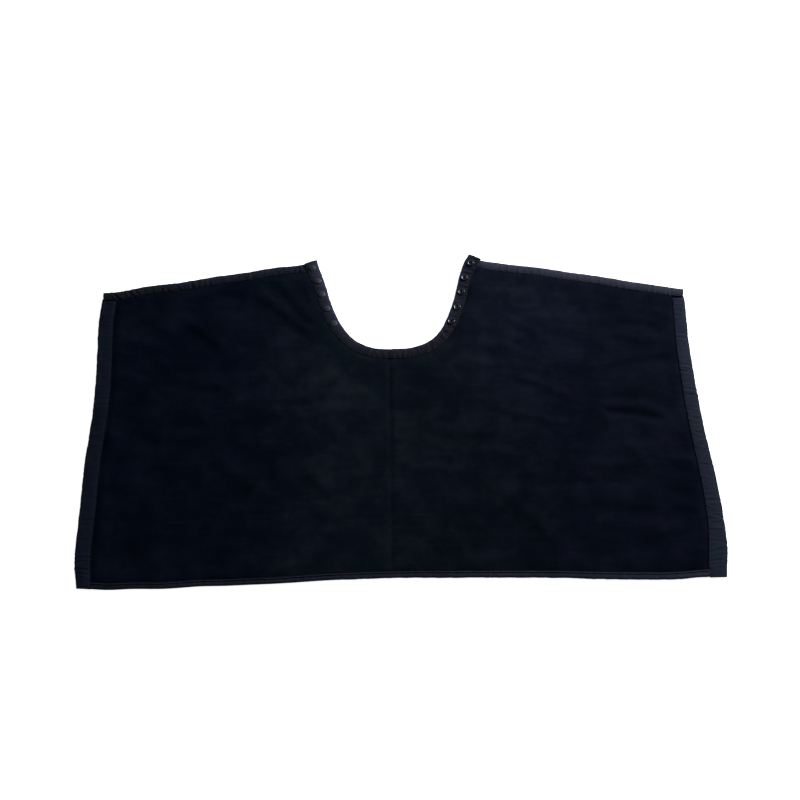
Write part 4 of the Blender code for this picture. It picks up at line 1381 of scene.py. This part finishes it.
# ------------------------------------------------------------------ floor, light and camera
def floor_look():
    k = Look("pale_floor", roughness=0.9, specular=0.1)
    at = k.node("ShaderNodeTexCoord").outputs["Object"]
    cloud = k.noise(at, 3, 3)
    k.colour(k.colours(cloud, (0.3, (0.86, 0.86, 0.86)), (0.7, (0.90, 0.90, 0.90))))
    k.shader.inputs["Emission Color"].default_value = (1, 1, 1, 1)
    k.shader.inputs["Emission Strength"].default_value = 0.90
    return k.mat


floor = new_object("floor", [(-14, -14, 0), (14, -14, 0), (14, 14, 0), (-14, 14, 0)], [(0, 1, 2, 3)], smooth=False)
floor.data.materials.append(floor_look())
floor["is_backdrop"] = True


def area_light(name, at, aim, width, power, colour=(1, 1, 1)):
    data = bpy.data.lights.new(name, "AREA")
    data.shape = "SQUARE"
    data.size = width
    data.energy = power
    data.color = colour
    ob = bpy.data.objects.new(name, data)
    bpy.context.scene.collection.objects.link(ob)
    ob.location = at
    ob.rotation_mode = "QUATERNION"
    ob.rotation_quaternion = (Vector(aim) - Vector(at)).to_track_quat("-Z", "Y")
    return ob


area_light("key", (1.75, 1.75, 1.20), (0, 0, 0), 1.1, 135, (1.0, 0.99, 0.98))
area_light("overhead", (-0.2, 0.1, 2.6), (0, 0, 0), 2.6, 9)

world = bpy.data.worlds.new("studio")
bpy.context.scene.world = world
world.use_nodes = True
tree = world.node_tree
tree.nodes.clear()
out = tree.nodes.new("ShaderNodeOutputWorld")
mix = tree.nodes.new("ShaderNodeMixShader")
path = tree.nodes.new("ShaderNodeLightPath")
for i, strength in ((1, 0.06), (2, 1.05)):
    back = tree.nodes.new("ShaderNodeBackground")
    back.inputs[0].default_value = (1, 1, 1, 1)
    back.inputs[1].default_value = strength
    tree.links.new(back.outputs[0], mix.inputs[i])
tree.links.new(path.outputs["Is Camera Ray"], mix.inputs[0])
tree.links.new(mix.outputs[0], out.inputs[0])

scene = bpy.context.scene
scene.view_settings.view_transform = "Standard"
scene.view_settings.look = "None"
scene.view_settings.exposure = 0.0
scene.view_settings.gamma = 1.0

camera_data = bpy.data.cameras.new("camera")
camera_data.sensor_width = 36.0
camera_data.lens = 66.1
camera_data.shift_y = 0.0275
camera_data.clip_start, camera_data.clip_end = 0.05, 60
camera = bpy.data.objects.new("camera", camera_data)
scene.collection.objects.link(camera)
TARGET = Vector((0.0076, -0.0211, 0.0))
turn, tilt, away = math.radians(1.0), math.radians(60.0), 2.35
back = Vector((-math.sin(turn) * math.cos(tilt), -math.cos(turn) * math.cos(tilt), math.sin(tilt)))
camera.location = TARGET + back * away
camera.rotation_mode = "QUATERNION"
camera.rotation_quaternion = (-back).to_track_quat("-Z", "Y")
scene.camera = camera

bpy.context.view_layer.update()
low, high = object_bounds()
